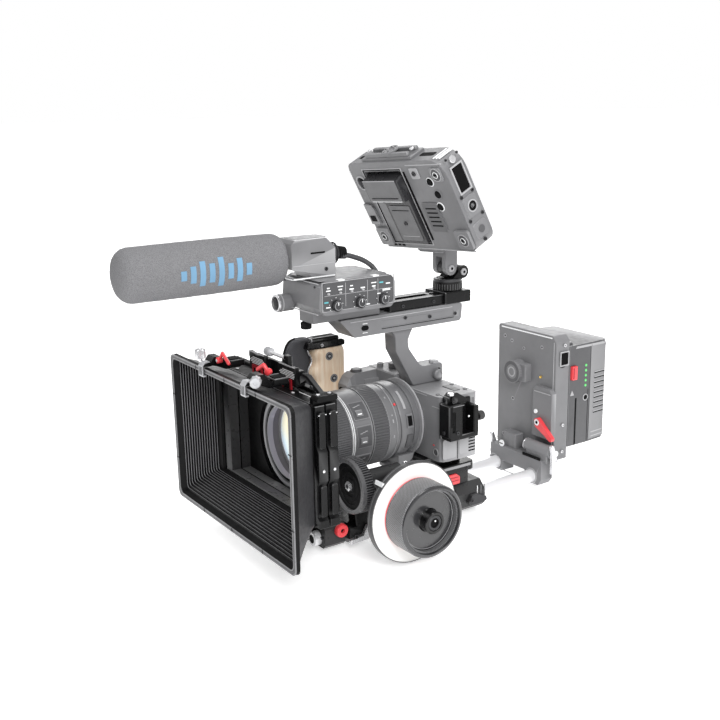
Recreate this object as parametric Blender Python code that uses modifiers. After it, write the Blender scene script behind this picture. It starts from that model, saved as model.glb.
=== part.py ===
"""A cinema camera rig on 15 mm rods, one closed object for each physical piece.

Lengths are millimetres and MM turns them into Blender's metres. Everything hangs from one
empty, RIG. In its frame +X is the operator's left, -Y is where the lens looks, +Z is up,
y = 0 is the front of the hood, x = 0 the lens axis plane and z = 0 the height of the rods.
RIG is placed so that the tripod face under the baseplate is the world's origin.
"""

import math

import bmesh
import bpy
from mathutils import Matrix, Vector

MM = 0.001
GAP = 0.3

# Rods and baseplate
ROD_RADIUS = 7.5
ROD_X = 30.0
ROD_FRONT = 73.0
ROD_BACK = 396.0
BORE_RADIUS = ROD_RADIUS + GAP
TRIPOD_Y = 235.0
TRIPOD_Z = -14.0
PLATE_TOP = 47.5

# Matte box
HOOD_HALF_WIDTH = 124.0
HOOD_LOW = 16.0
HOOD_HIGH = 173.5
HOOD_DEPTH = 38.0
PIN_Z = 187.0
RIM_DEPTH = 5.0
PLEATS = 15
STAGE_HALF = 95.0
STAGE_LOW = 43.0
STAGE_HIGH = 162.0
STAGE_BACK = 67.0
TRAY_DEPTH = 10.6
FAR_BRACKET_X = -47.0
NEAR_BRACKET_X = 41.0

# Lens and camera
LENS_Z = 96.0
LENS_RADIUS = 42.0
CAMERA_HALF = 65.0
CAMERA_FRONT = 210.0
CAMERA_BACK = 258.0
CAMERA_LOW = 60.0
CAMERA_TOP = 130.0
DECK_TOP = 139.5

# Handle, microphone and monitor
HANDLE_LOW = 194.5
HANDLE_TOP = 214.0
AUDIO_LOW = 226.0
AUDIO_TOP = 259.0
AUDIO_BACK = 175.0
MIC_Z = 280.0
MIC_RADIUS = 10.5
MONITOR_EDGE = (0, 245.9, 272.1)
MONITOR_TURN = (
    Matrix.Rotation(math.radians(4), 4, "Z")
    @ Matrix.Rotation(math.radians(26.7), 4, "X")
    @ Matrix.Rotation(math.radians(-3.9), 4, "Y")
)
LOWER_PIVOT = (0, 282.0, 246.0)
UPPER_PIVOT = (0, 266.0, 251.0)

# Follow focus
WHEEL_Y = 143.4
WHEEL_Z = 37.1
DISC_RADIUS = 50.6
WHEEL_RADIUS = 36.0
GEAR_X = 60.8
GEAR_Z = 60.2
GEAR_RADIUS = 28.0

# Battery end
POWER_FRONT = 389.0
POWER_BACK = 410.0

FINISHES = {
    "black_metal": ((0.018, 0.018, 0.02), 0.42, 0.6),
    "grey_metal": ((0.17, 0.17, 0.18), 0.4, 0.6),
    "grey_plastic": ((0.15, 0.15, 0.155), 0.5, 0.0),
    "dark_plastic": ((0.05, 0.05, 0.055), 0.5, 0.0),
    "silver": ((0.75, 0.75, 0.76), 0.25, 1.0),
    "red": ((0.7, 0.06, 0.07), 0.4, 0.3),
    "white": ((0.86, 0.86, 0.86), 0.5, 0.0),
    "wood": ((0.68, 0.47, 0.3), 0.5, 0.0),
    "rubber": ((0.03, 0.03, 0.03), 0.8, 0.0),
    "foam": ((0.1, 0.1, 0.105), 0.95, 0.0),
    "glass": ((0.2, 0.22, 0.3), 0.05, 0.0),
}

for old in list(bpy.data.objects):
    bpy.data.objects.remove(old)

PARTS = bpy.data.collections.new("cinema_camera_rig")
CUTTERS = bpy.data.collections.new("cutters")
CUTTERS.hide_render = True
for group in (PARTS, CUTTERS):
    bpy.context.scene.collection.children.link(group)

RIG = bpy.data.objects.new("rig_datum", None)
RIG.location = (0, -TRIPOD_Y * MM, -TRIPOD_Z * MM)
PARTS.objects.link(RIG)


def finish(name):
    """The named finish as a Principled material, made once."""
    made = bpy.data.materials.get(name)
    if made:
        return made
    colour, roughness, metallic = FINISHES[name]
    made = bpy.data.materials.new(name)
    made.use_nodes = True
    shader = made.node_tree.nodes["Principled BSDF"]
    shader.inputs["Base Color"].default_value = (*colour, 1)
    shader.inputs["Roughness"].default_value = roughness
    shader.inputs["Metallic"].default_value = metallic
    return made


def from_bmesh(bm):
    """A loose object that holds the bmesh, whose units are millimetres."""
    bmesh.ops.scale(bm, vec=(MM, MM, MM), verts=bm.verts)
    mesh = bpy.data.meshes.new("shape")
    bm.to_mesh(mesh)
    bm.free()
    return bpy.data.objects.new("shape", mesh)


def soften(obj, width, segments=1):
    """Rounds an object's edges."""
    bevel = obj.modifiers.new("soften", "BEVEL")
    bevel.width = width * MM
    bevel.segments = segments
    bevel.limit_method = "ANGLE"
    bevel.angle_limit = math.radians(50)
    return obj


def box(x, y, z, edge=0.0):
    """A block between the pairs x, y and z, with its edges softened where edge isn't 0."""
    spans = (x, y, z)
    bm = bmesh.new()
    bmesh.ops.create_cube(bm, size=1)
    bmesh.ops.scale(bm, vec=[high - low for low, high in spans], verts=bm.verts)
    obj = from_bmesh(bm)
    obj.location = Vector([(low + high) / 2 for low, high in spans]) * MM
    if edge:
        soften(obj, edge)
    return obj


def drum(start, end, radius, tip=None, sides=24):
    """A cylinder from start to end, or a cone where tip gives the radius at its end."""
    start, end = Vector(start), Vector(end)
    bm = bmesh.new()
    tip = radius if tip is None else tip
    length = (end - start).length
    bmesh.ops.create_cone(
        bm, cap_ends=True, segments=sides, radius1=radius, radius2=tip, depth=length
    )
    obj = from_bmesh(bm)
    obj.location = (start + end) / 2 * MM
    obj.rotation_euler = (end - start).to_track_quat("Z", "Y").to_euler()
    return obj


def turned(profile, centre, axis, sides=40):
    """A profile of (radius, height) pairs turned about an axis through centre."""
    bm = bmesh.new()
    points = [bm.verts.new((radius, 0, height)) for radius, height in profile]
    for one, other in zip(points, points[1:]):
        bm.edges.new((one, other))
    if profile[0][0] > 0:
        bm.edges.new((points[-1], points[0]))
    obj = from_bmesh(bm)
    screw = obj.modifiers.new("turn", "SCREW")
    screw.steps = screw.render_steps = sides
    screw.use_merge_vertices = True
    screw.merge_threshold = 0.00001
    obj.location = Vector(centre) * MM
    obj.rotation_euler = Vector(axis).to_track_quat("Z", "Y").to_euler()
    return obj


def filleted(corners, radius, steps=3):
    """The outline with each corner replaced by an arc; radius is one value or one a corner."""
    count = len(corners)
    radii = [radius] * count if isinstance(radius, (int, float)) else radius
    outline = []
    for i, corner in enumerate(corners):
        here = Vector(corner)
        back = (Vector(corners[i - 1]) - here).normalized()
        ahead = (Vector(corners[(i + 1) % count]) - here).normalized()
        if radii[i] == 0:
            outline.append(here)
            continue
        half = back.angle(ahead) / 2
        middle = here + (back + ahead).normalized() * radii[i] / math.sin(half)
        first = here + back * radii[i] / math.tan(half) - middle
        sweep = first.angle_signed(here + ahead * radii[i] / math.tan(half) - middle)
        for step in range(steps + 1):
            turn = Matrix.Rotation(-sweep * step / steps, 2)
            outline.append(middle + turn @ first)
    return outline


PLANES = {
    "X": Matrix(((0, 0, 1), (1, 0, 0), (0, 1, 0))),
    "Y": Matrix(((1, 0, 0), (0, 0, -1), (0, 1, 0))),
    "Z": Matrix.Identity(3),
}


def slab(outline, axis, low, high, edge=0.0, segments=1):
    """A flat outline as thick as low to high along the axis."""
    curve = bpy.data.curves.new("outline", "CURVE")
    curve.dimensions = "2D"
    curve.fill_mode = "BOTH"
    curve.extrude = (high - low) / 2 * MM
    line = curve.splines.new("POLY")
    line.points.add(len(outline) - 1)
    for point, (across, up) in zip(line.points, outline):
        point.co = (across * MM, up * MM, 0, 1)
    line.use_cyclic_u = True
    drawn = bpy.data.objects.new("outline", curve)
    place = PLANES[axis].to_4x4()
    place.translation = place.col[2].xyz * (low + high) / 2 * MM
    if axis == "Y":
        place.translation = Vector((0, (low + high) / 2 * MM, 0))
    obj = as_mesh(drawn, place)
    if edge:
        soften(obj, edge, segments)
    return obj


def as_mesh(drawn, place):
    """A curve object made a mesh with its caps welded on, and the curve removed."""
    bpy.context.scene.collection.objects.link(drawn)
    graph = bpy.context.evaluated_depsgraph_get()
    mesh = bpy.data.meshes.new_from_object(drawn.evaluated_get(graph))
    bm = bmesh.new()
    bm.from_mesh(mesh)
    bmesh.ops.remove_doubles(bm, verts=bm.verts, dist=0.001 * MM)
    bmesh.ops.recalc_face_normals(bm, faces=bm.faces)
    bm.to_mesh(mesh)
    bm.free()
    bpy.data.objects.remove(drawn)
    obj = bpy.data.objects.new("shape", mesh)
    obj.matrix_world = place
    return obj


def bar(points, radius, sides=8):
    """A round bar or cable along the points."""
    curve = bpy.data.curves.new("bar", "CURVE")
    curve.dimensions = "3D"
    curve.bevel_depth = radius * MM
    curve.bevel_resolution = sides // 2 - 2
    curve.use_fill_caps = True
    line = curve.splines.new("POLY")
    line.points.add(len(points) - 1)
    for point, place in zip(line.points, points):
        point.co = (*(Vector(place) * MM), 1)
    return as_mesh(bpy.data.objects.new("bar", curve), Matrix.Identity(4))


def leaned(obj, origin, turn):
    """Turns an object by the matrix and then moves its zero to origin."""
    obj.matrix_world = Matrix.Translation(Vector(origin) * MM) @ turn @ obj.matrix_basis
    return obj


def piece(name, look, base, joins=(), cuts=(), pivot=None):
    """Names the base as a node, joins and cuts the other shapes, and sets its origin."""
    base.name = name
    base.data.name = name
    base.data.materials.append(finish(look))
    PARTS.objects.link(base)
    if pivot is not None:
        move = Matrix.Translation(-Vector(pivot) * MM) @ base.matrix_basis
        base.data.transform(move)
        base.matrix_basis = Matrix.Translation(Vector(pivot) * MM)
    base.parent = RIG
    for operation, shapes in (("UNION", joins), ("DIFFERENCE", cuts)):
        for number, shape in enumerate(shapes, 1):
            shape.name = f"{name}_{operation.lower()}_{number}"
            shape.parent = RIG
            shape.hide_render = True
            shape.display_type = "WIRE"
            CUTTERS.objects.link(shape)
            boolean = base.modifiers.new(shape.name, "BOOLEAN")
            boolean.operation = operation
            boolean.solver = "EXACT"
            boolean.object = shape
    return base


def rod_bores(front, back):
    """Cutters for the two rods' bores between two depths."""
    return [
        drum((x, front, 0), (x, back, 0), BORE_RADIUS) for x in (-ROD_X, ROD_X)
    ]


# ---- Matte box ----


def hood_section(depth):
    """Half width, bottom and top of the hood's outer wall at a depth behind the rim."""
    share = (depth - RIM_DEPTH) / (HOOD_DEPTH - RIM_DEPTH)
    flare = 1 - (1 - share) ** 1.5
    half = HOOD_HALF_WIDTH - 4 - (HOOD_HALF_WIDTH - 4 - STAGE_HALF) * share
    low = HOOD_LOW + 4 + (STAGE_LOW - HOOD_LOW - 4) * flare
    high = HOOD_HIGH - 3 - (HOOD_HIGH - 3 - STAGE_HIGH) * share
    return half, low, high


def hood_loop(bm, depth, half, low, high, corner):
    """One rounded rectangle of vertices across the hood."""
    corners = [(-half, low), (half, low), (half, high), (-half, high)]
    outline = filleted(corners, corner)
    return [bm.verts.new((x, depth, z)) for x, z in outline]


def hood():
    """The sun hood: a flared shell with a thick rim and pleats on its inner walls."""
    rim = (HOOD_HALF_WIDTH, HOOD_LOW, HOOD_HIGH)
    wall, pleat = 2.2, 1.1
    depths = [RIM_DEPTH + (HOOD_DEPTH - RIM_DEPTH) * i / 4 for i in range(1, 5)]
    loops = [(0.6, *inset(rim, 0.6), 7), (RIM_DEPTH - 0.6, *rim, 7)]
    loops += [(RIM_DEPTH, *inset(rim, 0.8), 7)]
    loops += [(RIM_DEPTH + 0.1, *hood_section(RIM_DEPTH), 6)]
    loops += [(depth, *hood_section(depth), 6) for depth in depths]
    loops += [(HOOD_DEPTH, *inset(hood_section(HOOD_DEPTH), 4.5), 4)]
    step = (HOOD_DEPTH - 3 - RIM_DEPTH) / PLEATS
    for number in range(PLEATS, 0, -1):
        valley = RIM_DEPTH + step * number
        section = hood_section(valley)
        loops.append((valley, *inset(section, wall + pleat), 4))
        loops.append((valley - step * 0.45, *inset(section, wall), 4))
    loops += [(2.2, *inset(rim, 6.2), 4), (0.3, *inset(rim, 4.6), 5), (0, *inset(rim, 3.8), 5)]
    loops += [(0, *inset(rim, 1.4), 6)]
    bm = bmesh.new()
    rings = [hood_loop(bm, *loop) for loop in loops]
    for one, other in zip(rings, rings[1:] + rings[:1]):
        for i in range(len(one)):
            j = (i + 1) % len(one)
            bm.faces.new((one[i], one[j], other[j], other[i]))
    bmesh.ops.recalc_face_normals(bm, faces=bm.faces)
    piece("hood", "black_metal", from_bmesh(bm))


def inset(section, distance):
    """A hood section made smaller all round."""
    half, low, high = section
    return half - distance, low + distance, high - distance


def matte_stage():
    """The stage behind the hood, with two tray slots open to the operator's left."""
    front = HOOD_DEPTH + GAP
    slots = [front + 1.6, front + 2.4 + TRAY_DEPTH + GAP]
    shell = box((-STAGE_HALF, STAGE_HALF - 1), (front, STAGE_BACK), (STAGE_LOW, STAGE_HIGH), 1.5)
    cuts = [
        box((-86, 84), (front - 1, front + 2), (48, 156)),
        box((-78, 78), (front, slots[1] + 5), (48.5, 150)),
        drum((0, 50, LENS_Z), (0, STAGE_BACK + 5, LENS_Z), 50.5, sides=48),
    ]
    for slot in slots:
        cuts.append(box((-90, 99), (slot, slot + TRAY_DEPTH + GAP), (46, 159)))
    joins = [
        slab(
            filleted([(40, 164.5), (63, 164.5), (63, 169.5), (43, 169.5)], 1.2, 2),
            "X", 88, 100,
        ),
        box((88, 93.5), (41, 62), (161, 166)),
        box((-92, 60), (60, STAGE_BACK), (161, 165), 0.8),
    ]
    piece("matte_stage", "black_metal", shell, joins, cuts)
    for name, slot in zip(("filter_tray_front", "filter_tray_rear"), slots):
        filter_tray(name, slot + 0.3)


def filter_tray(name, front):
    """A filter frame with a foot and a finger grip on the edge that shows."""
    edge = STAGE_HALF - 0.1
    outline = [
        (-89.5, 46.4), (edge, 46.4), (edge, 43.5), (101, 43.5), (101, 51), (97.5, 54),
        (97.5, 84), (101.5, 90), (101.5, 117), (97.5, 123), (97.5, 160.5), (edge, 160.5),
        (edge, 158.6), (-89.5, 158.6),
    ]
    back = front + TRAY_DEPTH - GAP
    window = box((-74, 74), (front - 1, back + 1), (49.2, 150.4))
    piece(name, "black_metal", slab(outline, "Y", front, back, 0.5), cuts=[window])


def flag_bracket(name, x):
    """A flag bracket: a silver clip over the hood's rim, an arm with a hump and a shoe."""
    arm = [
        (6.5, 176), (6.5, 179.5), (10, 184), (17, 184), (24, 175.5), (41, 175.5),
        (41, 172), (38, 170), (22, 170), (12, 174.5),
    ]
    base = slab(filleted(arm, 0.9, 1), "X", x - 7, x + 7, 0.6)
    clip = [
        (-1.5, 166), (-1.5, 175.5), (1, 178.6), (9, 178.6), (9, 174.6), (0.5, 173.9),
        (-GAP, 173.9), (-GAP, 166),
    ]
    shoe = box((x - 9.5, x + 9.5), (26, 42), (171.5, 177.5), 0.8)
    piece(name, "black_metal", base, [slab(clip, "X", x - 4, x + 4), shoe])


def bracket_knob(name, start, end):
    """A faceted silver clamp knob on its screw, from the bracket outwards."""
    start, end = Vector(start), Vector(end)
    along = (end - start).normalized()
    neck = drum(start, start + along * 5, 2.2, sides=12)
    head = soften(drum(start + along * 4, end, 5.4, sides=12), 0.9)
    piece(name, "silver", head, [neck], pivot=tuple(start))


def bracket_lever(name, pivot, heading, reach):
    """A bent red lever: its arm follows the (out, up) pairs of reach along the heading."""
    heading = Vector((math.cos(heading), math.sin(heading), 0))
    pivot = Vector(pivot)
    points = [pivot + heading * out + Vector((0, 0, up)) for out, up in reach]
    across = heading.cross(Vector((0, 0, 1)))
    boss = drum(pivot - across * 3.2, pivot + across * 3.2, 4.4, sides=12)
    piece(name, "red", bar(points, 2.3), [boss], pivot=tuple(pivot))


def flag_hardware():
    """Both flag brackets with their knobs and levers."""
    flag_bracket("flag_bracket_far", FAR_BRACKET_X)
    flag_bracket("flag_bracket_near", NEAR_BRACKET_X)
    bracket_knob("bracket_knob_far", (-50, 0, 179), (-50, 0, 192))
    bracket_knob("bracket_knob_near", (49.8, 8, 180.5), (58.5, 2, 180))
    far_reach = [(0, 0), (8, 8), (20.5, 0.5)]
    near_reach = [(0, 0), (5, 6), (12, 1)]
    bracket_lever("bracket_lever_far", (FAR_BRACKET_X + 12, 13, 181.5), 0, far_reach)
    near_heading = math.radians(205)
    bracket_lever(
        "bracket_lever_near", (NEAR_BRACKET_X - 2, 26.5, 183), near_heading, near_reach
    )


def tray_latch_block():
    """The twin towers on the stage's top, with a strut down to its near end."""
    front, back, low, high = 50.0, 61.0, 165.3, 180.5
    base = box((-43, 48), (front, back), (low, high), 0.8)
    crown = filleted([(-16, 178.5), (16, 178.5), (16, 184.4), (0, 182.2), (-16, 184.4)], 0)
    joins = [
        slab([(x + shift, z) for x, z in crown], "Y", front, front + 4)
        for shift in (-27, 32)
    ]
    strut = [(44, 172), (52, 179.5), (60, 179), (86, 165.3), (79, 165.3), (58, 173.5), (48, 168)]
    joins.append(slab(strut, "Y", 55, 60.5, 0.6))
    joins.append(box((17.5, 25), (55, 60.7), (178.5, 190.5), 0.6))
    cuts = [
        box((-11, 16), (front - 1, front + 7), (low - 1, high + 1)),
        box((-36, -18), (front - 1, front + 4), (low + 1.5, 172), 0.5),
        box((23, 41), (front - 1, front + 4), (low + 1.5, 172), 0.5),
    ]
    piece("tray_latch_block", "black_metal", base, joins, cuts)
    knob = soften(drum((-20.5, 58, PIN_Z), (-10.5, 58, PIN_Z), 4.3, sides=16), 0.7)
    stem = drum((-11, 58, PIN_Z), (17.2, 58, PIN_Z), 2.0, sides=12)
    piece("swing_pin", "silver", knob, [stem], pivot=(0, 58, PIN_Z))


def matte_rod_clamp():
    """The clamp under the stage and the riser that carries it on the rods."""
    block = [(-46, -9), (40, -9), (44, -5), (44, 12), (41, 16), (24, 16), (18, 9.6), (-46, 9.6)]
    base = slab(filleted(block, 1, 1), "Y", 80, 104)
    riser = box((-20, 20), (STAGE_BACK + GAP, 82), (-6, 47), 1)
    piece("matte_rod_clamp", "black_metal", base, [riser], rod_bores(79, 105))
    knob = soften(drum((44.4, 97, 9.5), (50.5, 97, 9.5), 7, sides=20), 0.8)
    piece("matte_clamp_knob", "red", knob, pivot=(44.4, 97, 9.5))


# ---- Rods and baseplate ----


def rods():
    """The two rods that carry everything, with rounded ends."""
    for name, x in (("rod_near", ROD_X), ("rod_far", -ROD_X)):
        tube = soften(drum((x, ROD_FRONT, 0), (x, ROD_BACK, 0), ROD_RADIUS), 0.8)
        piece(name, "silver", tube)


def baseplate():
    """The rod baseplate, the camera plate with its side arm, the latch and the rod lock."""
    rear = [(-46, -11), (42, -11), (47, -6), (47, 9), (38, 19), (-38, 19), (-46, 11)]
    base = slab(filleted(rear, 1, 1), "Y", 248, 286)
    joins = [
        slab(filleted(rear, 1, 1), "Y", 203, 219),
        box((-20, 20), (205, 284), (TRIPOD_Z, 22), 1),
        box((-38, 43.5), (206, 265), (21, PLATE_TOP - 10), 1),
        box((-24, 24), (207, 264), (15, 24)),
    ]
    cuts = rod_bores(202, 287)
    cuts.append(drum((0, TRIPOD_Y - 13, -20), (0, TRIPOD_Y - 13, -4), 4.8, sides=16))
    piece("rod_baseplate", "black_metal", base, joins, cuts)
    lever = [(258, 1), (263, 7.5), (272, 8), (283, 3), (284, -1.5), (272, -2), (262, -3)]
    piece(
        "rod_lock_lever", "black_metal",
        slab(filleted(lever, 1.5, 2), "X", 47.4, 53, 0.7), pivot=(50, 267, 3),
    )
    top = filleted([(-38, 199), (50, 199), (50, 268), (-38, 268)], (4, 4, 5, 5))
    wedge = [(203.5, 59.2), (213, 59.4), (213, 45), (208, 45)]
    joins = [
        slab(wedge, "X", 18, 44),
        box((-35, 40), (211, 256), (46, CAMERA_LOW - GAP), 0.6),
        box((-84, -36), (200, 222), (39, 46)),
        box((-84, -68), (148, 204), (39, 46)),
        box((-83, -69), (150, 176), (45, 64 - GAP)),
    ]
    plate = slab(top, "Z", PLATE_TOP - 9.7, PLATE_TOP, 0.8)
    piece("camera_plate", "black_metal", plate, joins)
    latch = [(231, 25), (248, 25), (248, 33), (243, 37), (231, 37)]
    piece("plate_latch", "red", slab(filleted(latch, 1, 1), "X", 43.9, 50, 0.5))


# ---- Camera and lens ----


def camera():
    """The camera body with its grip, raised deck, hinged screen, button and dial."""
    plan = [
        (-61.5, 190), (-44, 190), (-41, CAMERA_FRONT), (CAMERA_HALF, CAMERA_FRONT),
        (CAMERA_HALF, CAMERA_BACK), (-CAMERA_HALF, CAMERA_BACK), (-CAMERA_HALF, 200),
    ]
    outline = filleted(plan, (0, 0, 5, 9, 4, 5, 0))
    base = slab(outline, "Z", CAMERA_LOW, CAMERA_TOP, 2.5, 2)
    grip = [
        (167, 64), (212.6, 64), (212.6, DECK_TOP - 0.4), (178, DECK_TOP - 1.4), (172, 134),
        (167, 126),
    ]
    joins = [
        slab(filleted(grip, (4, 0, 0, 3, 3, 3), 2), "X", -61, -45),
        box((-63, -10.5), (207, 250), (CAMERA_TOP - 4, DECK_TOP), 1.2),
        drum((0, 206, LENS_Z), (0, 212, LENS_Z), 35, sides=40),
        drum((-48, 214, DECK_TOP - 1), (-48, 214, DECK_TOP + 4.5), 3.6, sides=16),
    ]
    cuts = [
        drum((-52.7, 185, DECK_TOP - 4.4), (-52.7, 185, DECK_TOP + 5), 6.6, sides=20),
        box((CAMERA_HALF - 1, 70), (246, 253), (104, 124)),
    ]
    piece("camera_body", "grey_plastic", base, joins, cuts)
    low = DECK_TOP - 2.6
    button = soften(drum((-52.7, 185, low), (-52.7, 185, DECK_TOP + 2), 6.2, sides=20), 0.6)
    piece("record_button", "grey_metal", button, pivot=(-52.7, 185, low))
    low = DECK_TOP + GAP
    dial = soften(drum((-34, 222, low), (-34, 222, low + 6), 5.6, sides=24), 0.6)
    piece("exposure_dial", "grey_metal", dial, pivot=(-34, 222, low))
    hinge = (44.0, CAMERA_BACK + 4.4)
    edge = [
        (hinge[0] + 4.1 * math.sin(a), hinge[1] - 4.1 * math.cos(a))
        for a in (math.pi * i / 8 for i in range(9))
    ]
    screen = [*edge, (-38, hinge[1] + 4.1), (-38, hinge[1] - 4.1)]
    piece(
        "rear_screen", "grey_plastic",
        slab(screen, "Z", 68, 126, 0.6), pivot=(*hinge, 97),
    )


def lens():
    """The lens: bezel, front glass, barrel, focus and zoom rings and mount adapter."""
    centre = (0, 0, LENS_Z)
    front = (0, -1, 0)
    bezel = [
        (47, -64.5), (47.4, -66), (47.4, -76), (44, -80), (40.5, -84), (40.5, -97.4),
        (36.6, -97.4), (36.6, -117.3), (40.2, -117.3), (41.2, -121), (41.2, -142.7),
        (37.4, -142.7), (37.4, -163.6), (41, -163.6), (41.4, -170), (40.2, -177.7), (34, -177.7),
        (34, -84), (40, -80), (41.5, -70), (42.5, -64.5),
    ]
    piece("lens_barrel", "grey_plastic", turned(bezel, centre, front))
    rings = (("focus_ring", -97.7, -117.0, 37), ("zoom_ring", -143.0, -163.3, 37.8))
    for name, near, far, bore in rings:
        shape = [
            (LENS_RADIUS - 0.7, near), (LENS_RADIUS, near - 0.7),
            (LENS_RADIUS, far + 0.7), (LENS_RADIUS - 0.7, far), (bore, far), (bore, near),
        ]
        piece(name, "dark_plastic", turned(shape, centre, front))
    glass = [
        (0, -70.5), (15, -71.5), (28, -75), (36.5, -79.4), (33.6, -82.6), (33.6, -92), (0, -92),
    ]
    piece("front_glass", "glass", turned(glass, centre, front, 32))
    tube = [
        (40.6, -178), (41.6, -180), (41.6, -190), (39, -196), (37.5, -205.7), (33, -205.7), (33, -178),
    ]
    foot = slab(
        [(179, 66), (179, 54), (173, 54), (173, 50), (180, 49), (195, 54), (200, 66)], "X", 6, 33, 0.6
    )
    piece("lens_adapter", "dark_plastic", turned(tube, centre, front), [foot])


# ---- Side grip and cable bracket ----


def side_grip():
    """The wooden grip with its finger grooves, the black rail over it and the hand strap."""
    fingers = [
        (139 + 3.2 * math.cos(math.radians(z * 13.5)), z) for z in range(66, 164, 7)
    ]
    outline = [(178, 64), (181, 90), (179, 150), (173, 166), (142, 166), *fingers[::-1]]
    wood = slab(outline, "X", -89, -63, 5, 2)
    piece("wood_grip", "wood", wood)
    rail = [(131, 166.6), (180, 166.6), (180, 172), (176, 174), (135, 174)]
    rail = slab(filleted(rail, 1, 1), "X", -86, -66, 0.8)
    piece("grip_rail", "black_metal", rail, [box((-83, -69), (140, 174), (173, 177.5), 0.8)])
    pad = [
        (113, 126), (110, 140), (110, 160), (116, 175), (124, 177), (129, 168), (133, 160),
        (134.6, 150), (132, 126),
    ]
    strap = slab(filleted(pad, 3, 2), "X", -92, -70, 3, 2)
    piece("hand_strap", "rubber", strap)


def cable_bracket():
    """The cable clamp on the camera's near side, with its thumbscrew."""
    inner = CAMERA_HALF + GAP
    base = box((inner, inner + 3), (207, 246), (88, 127), 0.6)
    ear = [(211, 123), (236, 123), (237, 128), (230, 132), (224, 136), (216, 136), (211, 131)]
    joins = [
        slab(filleted(ear, 1.5, 1), "X", inner + 0.5, inner + 8),
        box((inner, 82), (207, 225), (91, 126), 1.2),
        box((inner, 82), (239.5, 246), (91, 121), 1),
        box((inner, 82), (208, 245.5), (88, 93), 0.8),
        drum((inner + 7, 220, 129.5), (inner + 9.5, 220, 129.5), 4.2, sides=16),
    ]
    cuts = [box((80, 83), (211, 215), (97, 119), 0.8)]
    piece("cable_bracket", "black_metal", base, joins, cuts)
    knob = soften(drum((75, 249.5, 107), (75, 257, 107), 5, sides=18), 0.7)
    stem = drum((75, 246.3, 107), (75, 250, 107), 2.2, sides=12)
    piece("cable_clamp_knob", "black_metal", knob, [stem], pivot=(75, 246.3, 107))


# ---- Handle, audio and monitor support ----


def top_handle():
    """The top handle, one casting with its post and foot."""
    post = [
        (186, 196), (193, 187), (193.5, 171), (205, 150), (216, CAMERA_TOP + GAP),
        (256, CAMERA_TOP + GAP), (256, 148), (254, 150), (227, 150), (211, 172), (210, 182),
        (218, 196),
    ]
    bend = (0, 6, 0, 0, 0, 0, 0, 0, 8, 10, 8, 0)
    base = slab(filleted(post, bend), "X", -10, 10, 1.6, 2)
    grip = [(139, HANDLE_LOW), (276, HANDLE_LOW), (278, HANDLE_TOP), (121, HANDLE_TOP)]
    beam = slab(filleted(grip, (1, 4, 3, 1)), "X", -15.5, 15.5, 1.4, 2)
    grooves = [
        box(sorted((side * 15, side * 17)), (172, 268), (200, 208), 0.8) for side in (-1, 1)
    ]
    piece("top_handle", "grey_plastic", base, [beam], grooves)


def monitor_bracket():
    """The black plate behind the audio box that carries the monitor arm."""
    base = box((-14, 14), (184, 262), (HANDLE_TOP + GAP, 224.5), 1)
    pad = box((-18, 18), (253, 288), (HANDLE_TOP + GAP, 227), 1)
    slot = box((-5, 5), (196, 242), (219, 226))
    piece("monitor_bracket", "black_metal", base, [pad], [slot])


def audio_module():
    """The audio box on the handle, with its sockets and level dials."""
    back = AUDIO_BACK
    face = [
        (86, 234), (92, AUDIO_LOW), (back - 5, AUDIO_LOW), (back, 231), (back, 252),
        (back - 7, AUDIO_TOP), (97, AUDIO_TOP), (88, 254),
    ]
    base = slab(filleted(face, 3, 2), "X", -35, 35, 1.6, 2)
    joins = [
        box((-13, 13), (92, back - 3), (HANDLE_TOP + GAP, AUDIO_LOW + 2), 0.8),
        drum((-24, 72, 232), (-24, 90, 232), 8.8, sides=24),
    ]
    cuts = [drum((-24, 71, 232), (-24, 80, 232), 7.2, sides=20)]
    piece("audio_box", "grey_plastic", base, joins, cuts)
    for number, y in enumerate((105, 132.5, 160), 1):
        start, end = (35 + GAP, y, 235), (40, y, 235)
        knob = soften(drum(start, end, 5.6, 5.0, sides=20), 0.5)
        piece(f"level_dial_{number}", "dark_plastic", knob, pivot=start)


def microphone():
    """The shotgun microphone, its clamp, foam windscreen and cable."""
    body = drum((0, -84, MIC_Z), (0, 112, MIC_Z), MIC_RADIUS, sides=28)
    plug = drum((0, 111, MIC_Z), (0, 126, MIC_Z), 9, 8.5, sides=20)
    boot = drum((0, 125, MIC_Z), (0, 140, MIC_Z - 4.2), 6, 3.4, sides=16)
    piece("microphone", "dark_plastic", body, [plug, boot])
    low = AUDIO_TOP + GAP
    holder = [
        (69, 270), (69, 294), (73, 298), (108, 298), (118, 288), (118, low), (92, low), (88, 266),
    ]
    clamp = slab(filleted(holder, 1.5, 2), "X", -16, 16, 1.2, 2)
    bore = drum((0, 67, MIC_Z), (0, 120, MIC_Z), MIC_RADIUS + GAP, sides=28)
    piece("mic_clamp", "dark_plastic", clamp, cuts=[bore])
    foam = [
        (0, 100), (8, 99.4), (15, 96), (19.5, 90), (21.6, 82), (23.5, 25), (25.2, -40),
        (25.2, -54), (23, -61), (18, -64), (11.2, -64), (11.2, 85), (0, 85),
    ]
    piece("windscreen", "foam", turned(foam, (0, 0, MIC_Z), (0, -1, 0), 28))
    piece("mic_cable", "rubber", bar(cable_route(), 2.6))


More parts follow.
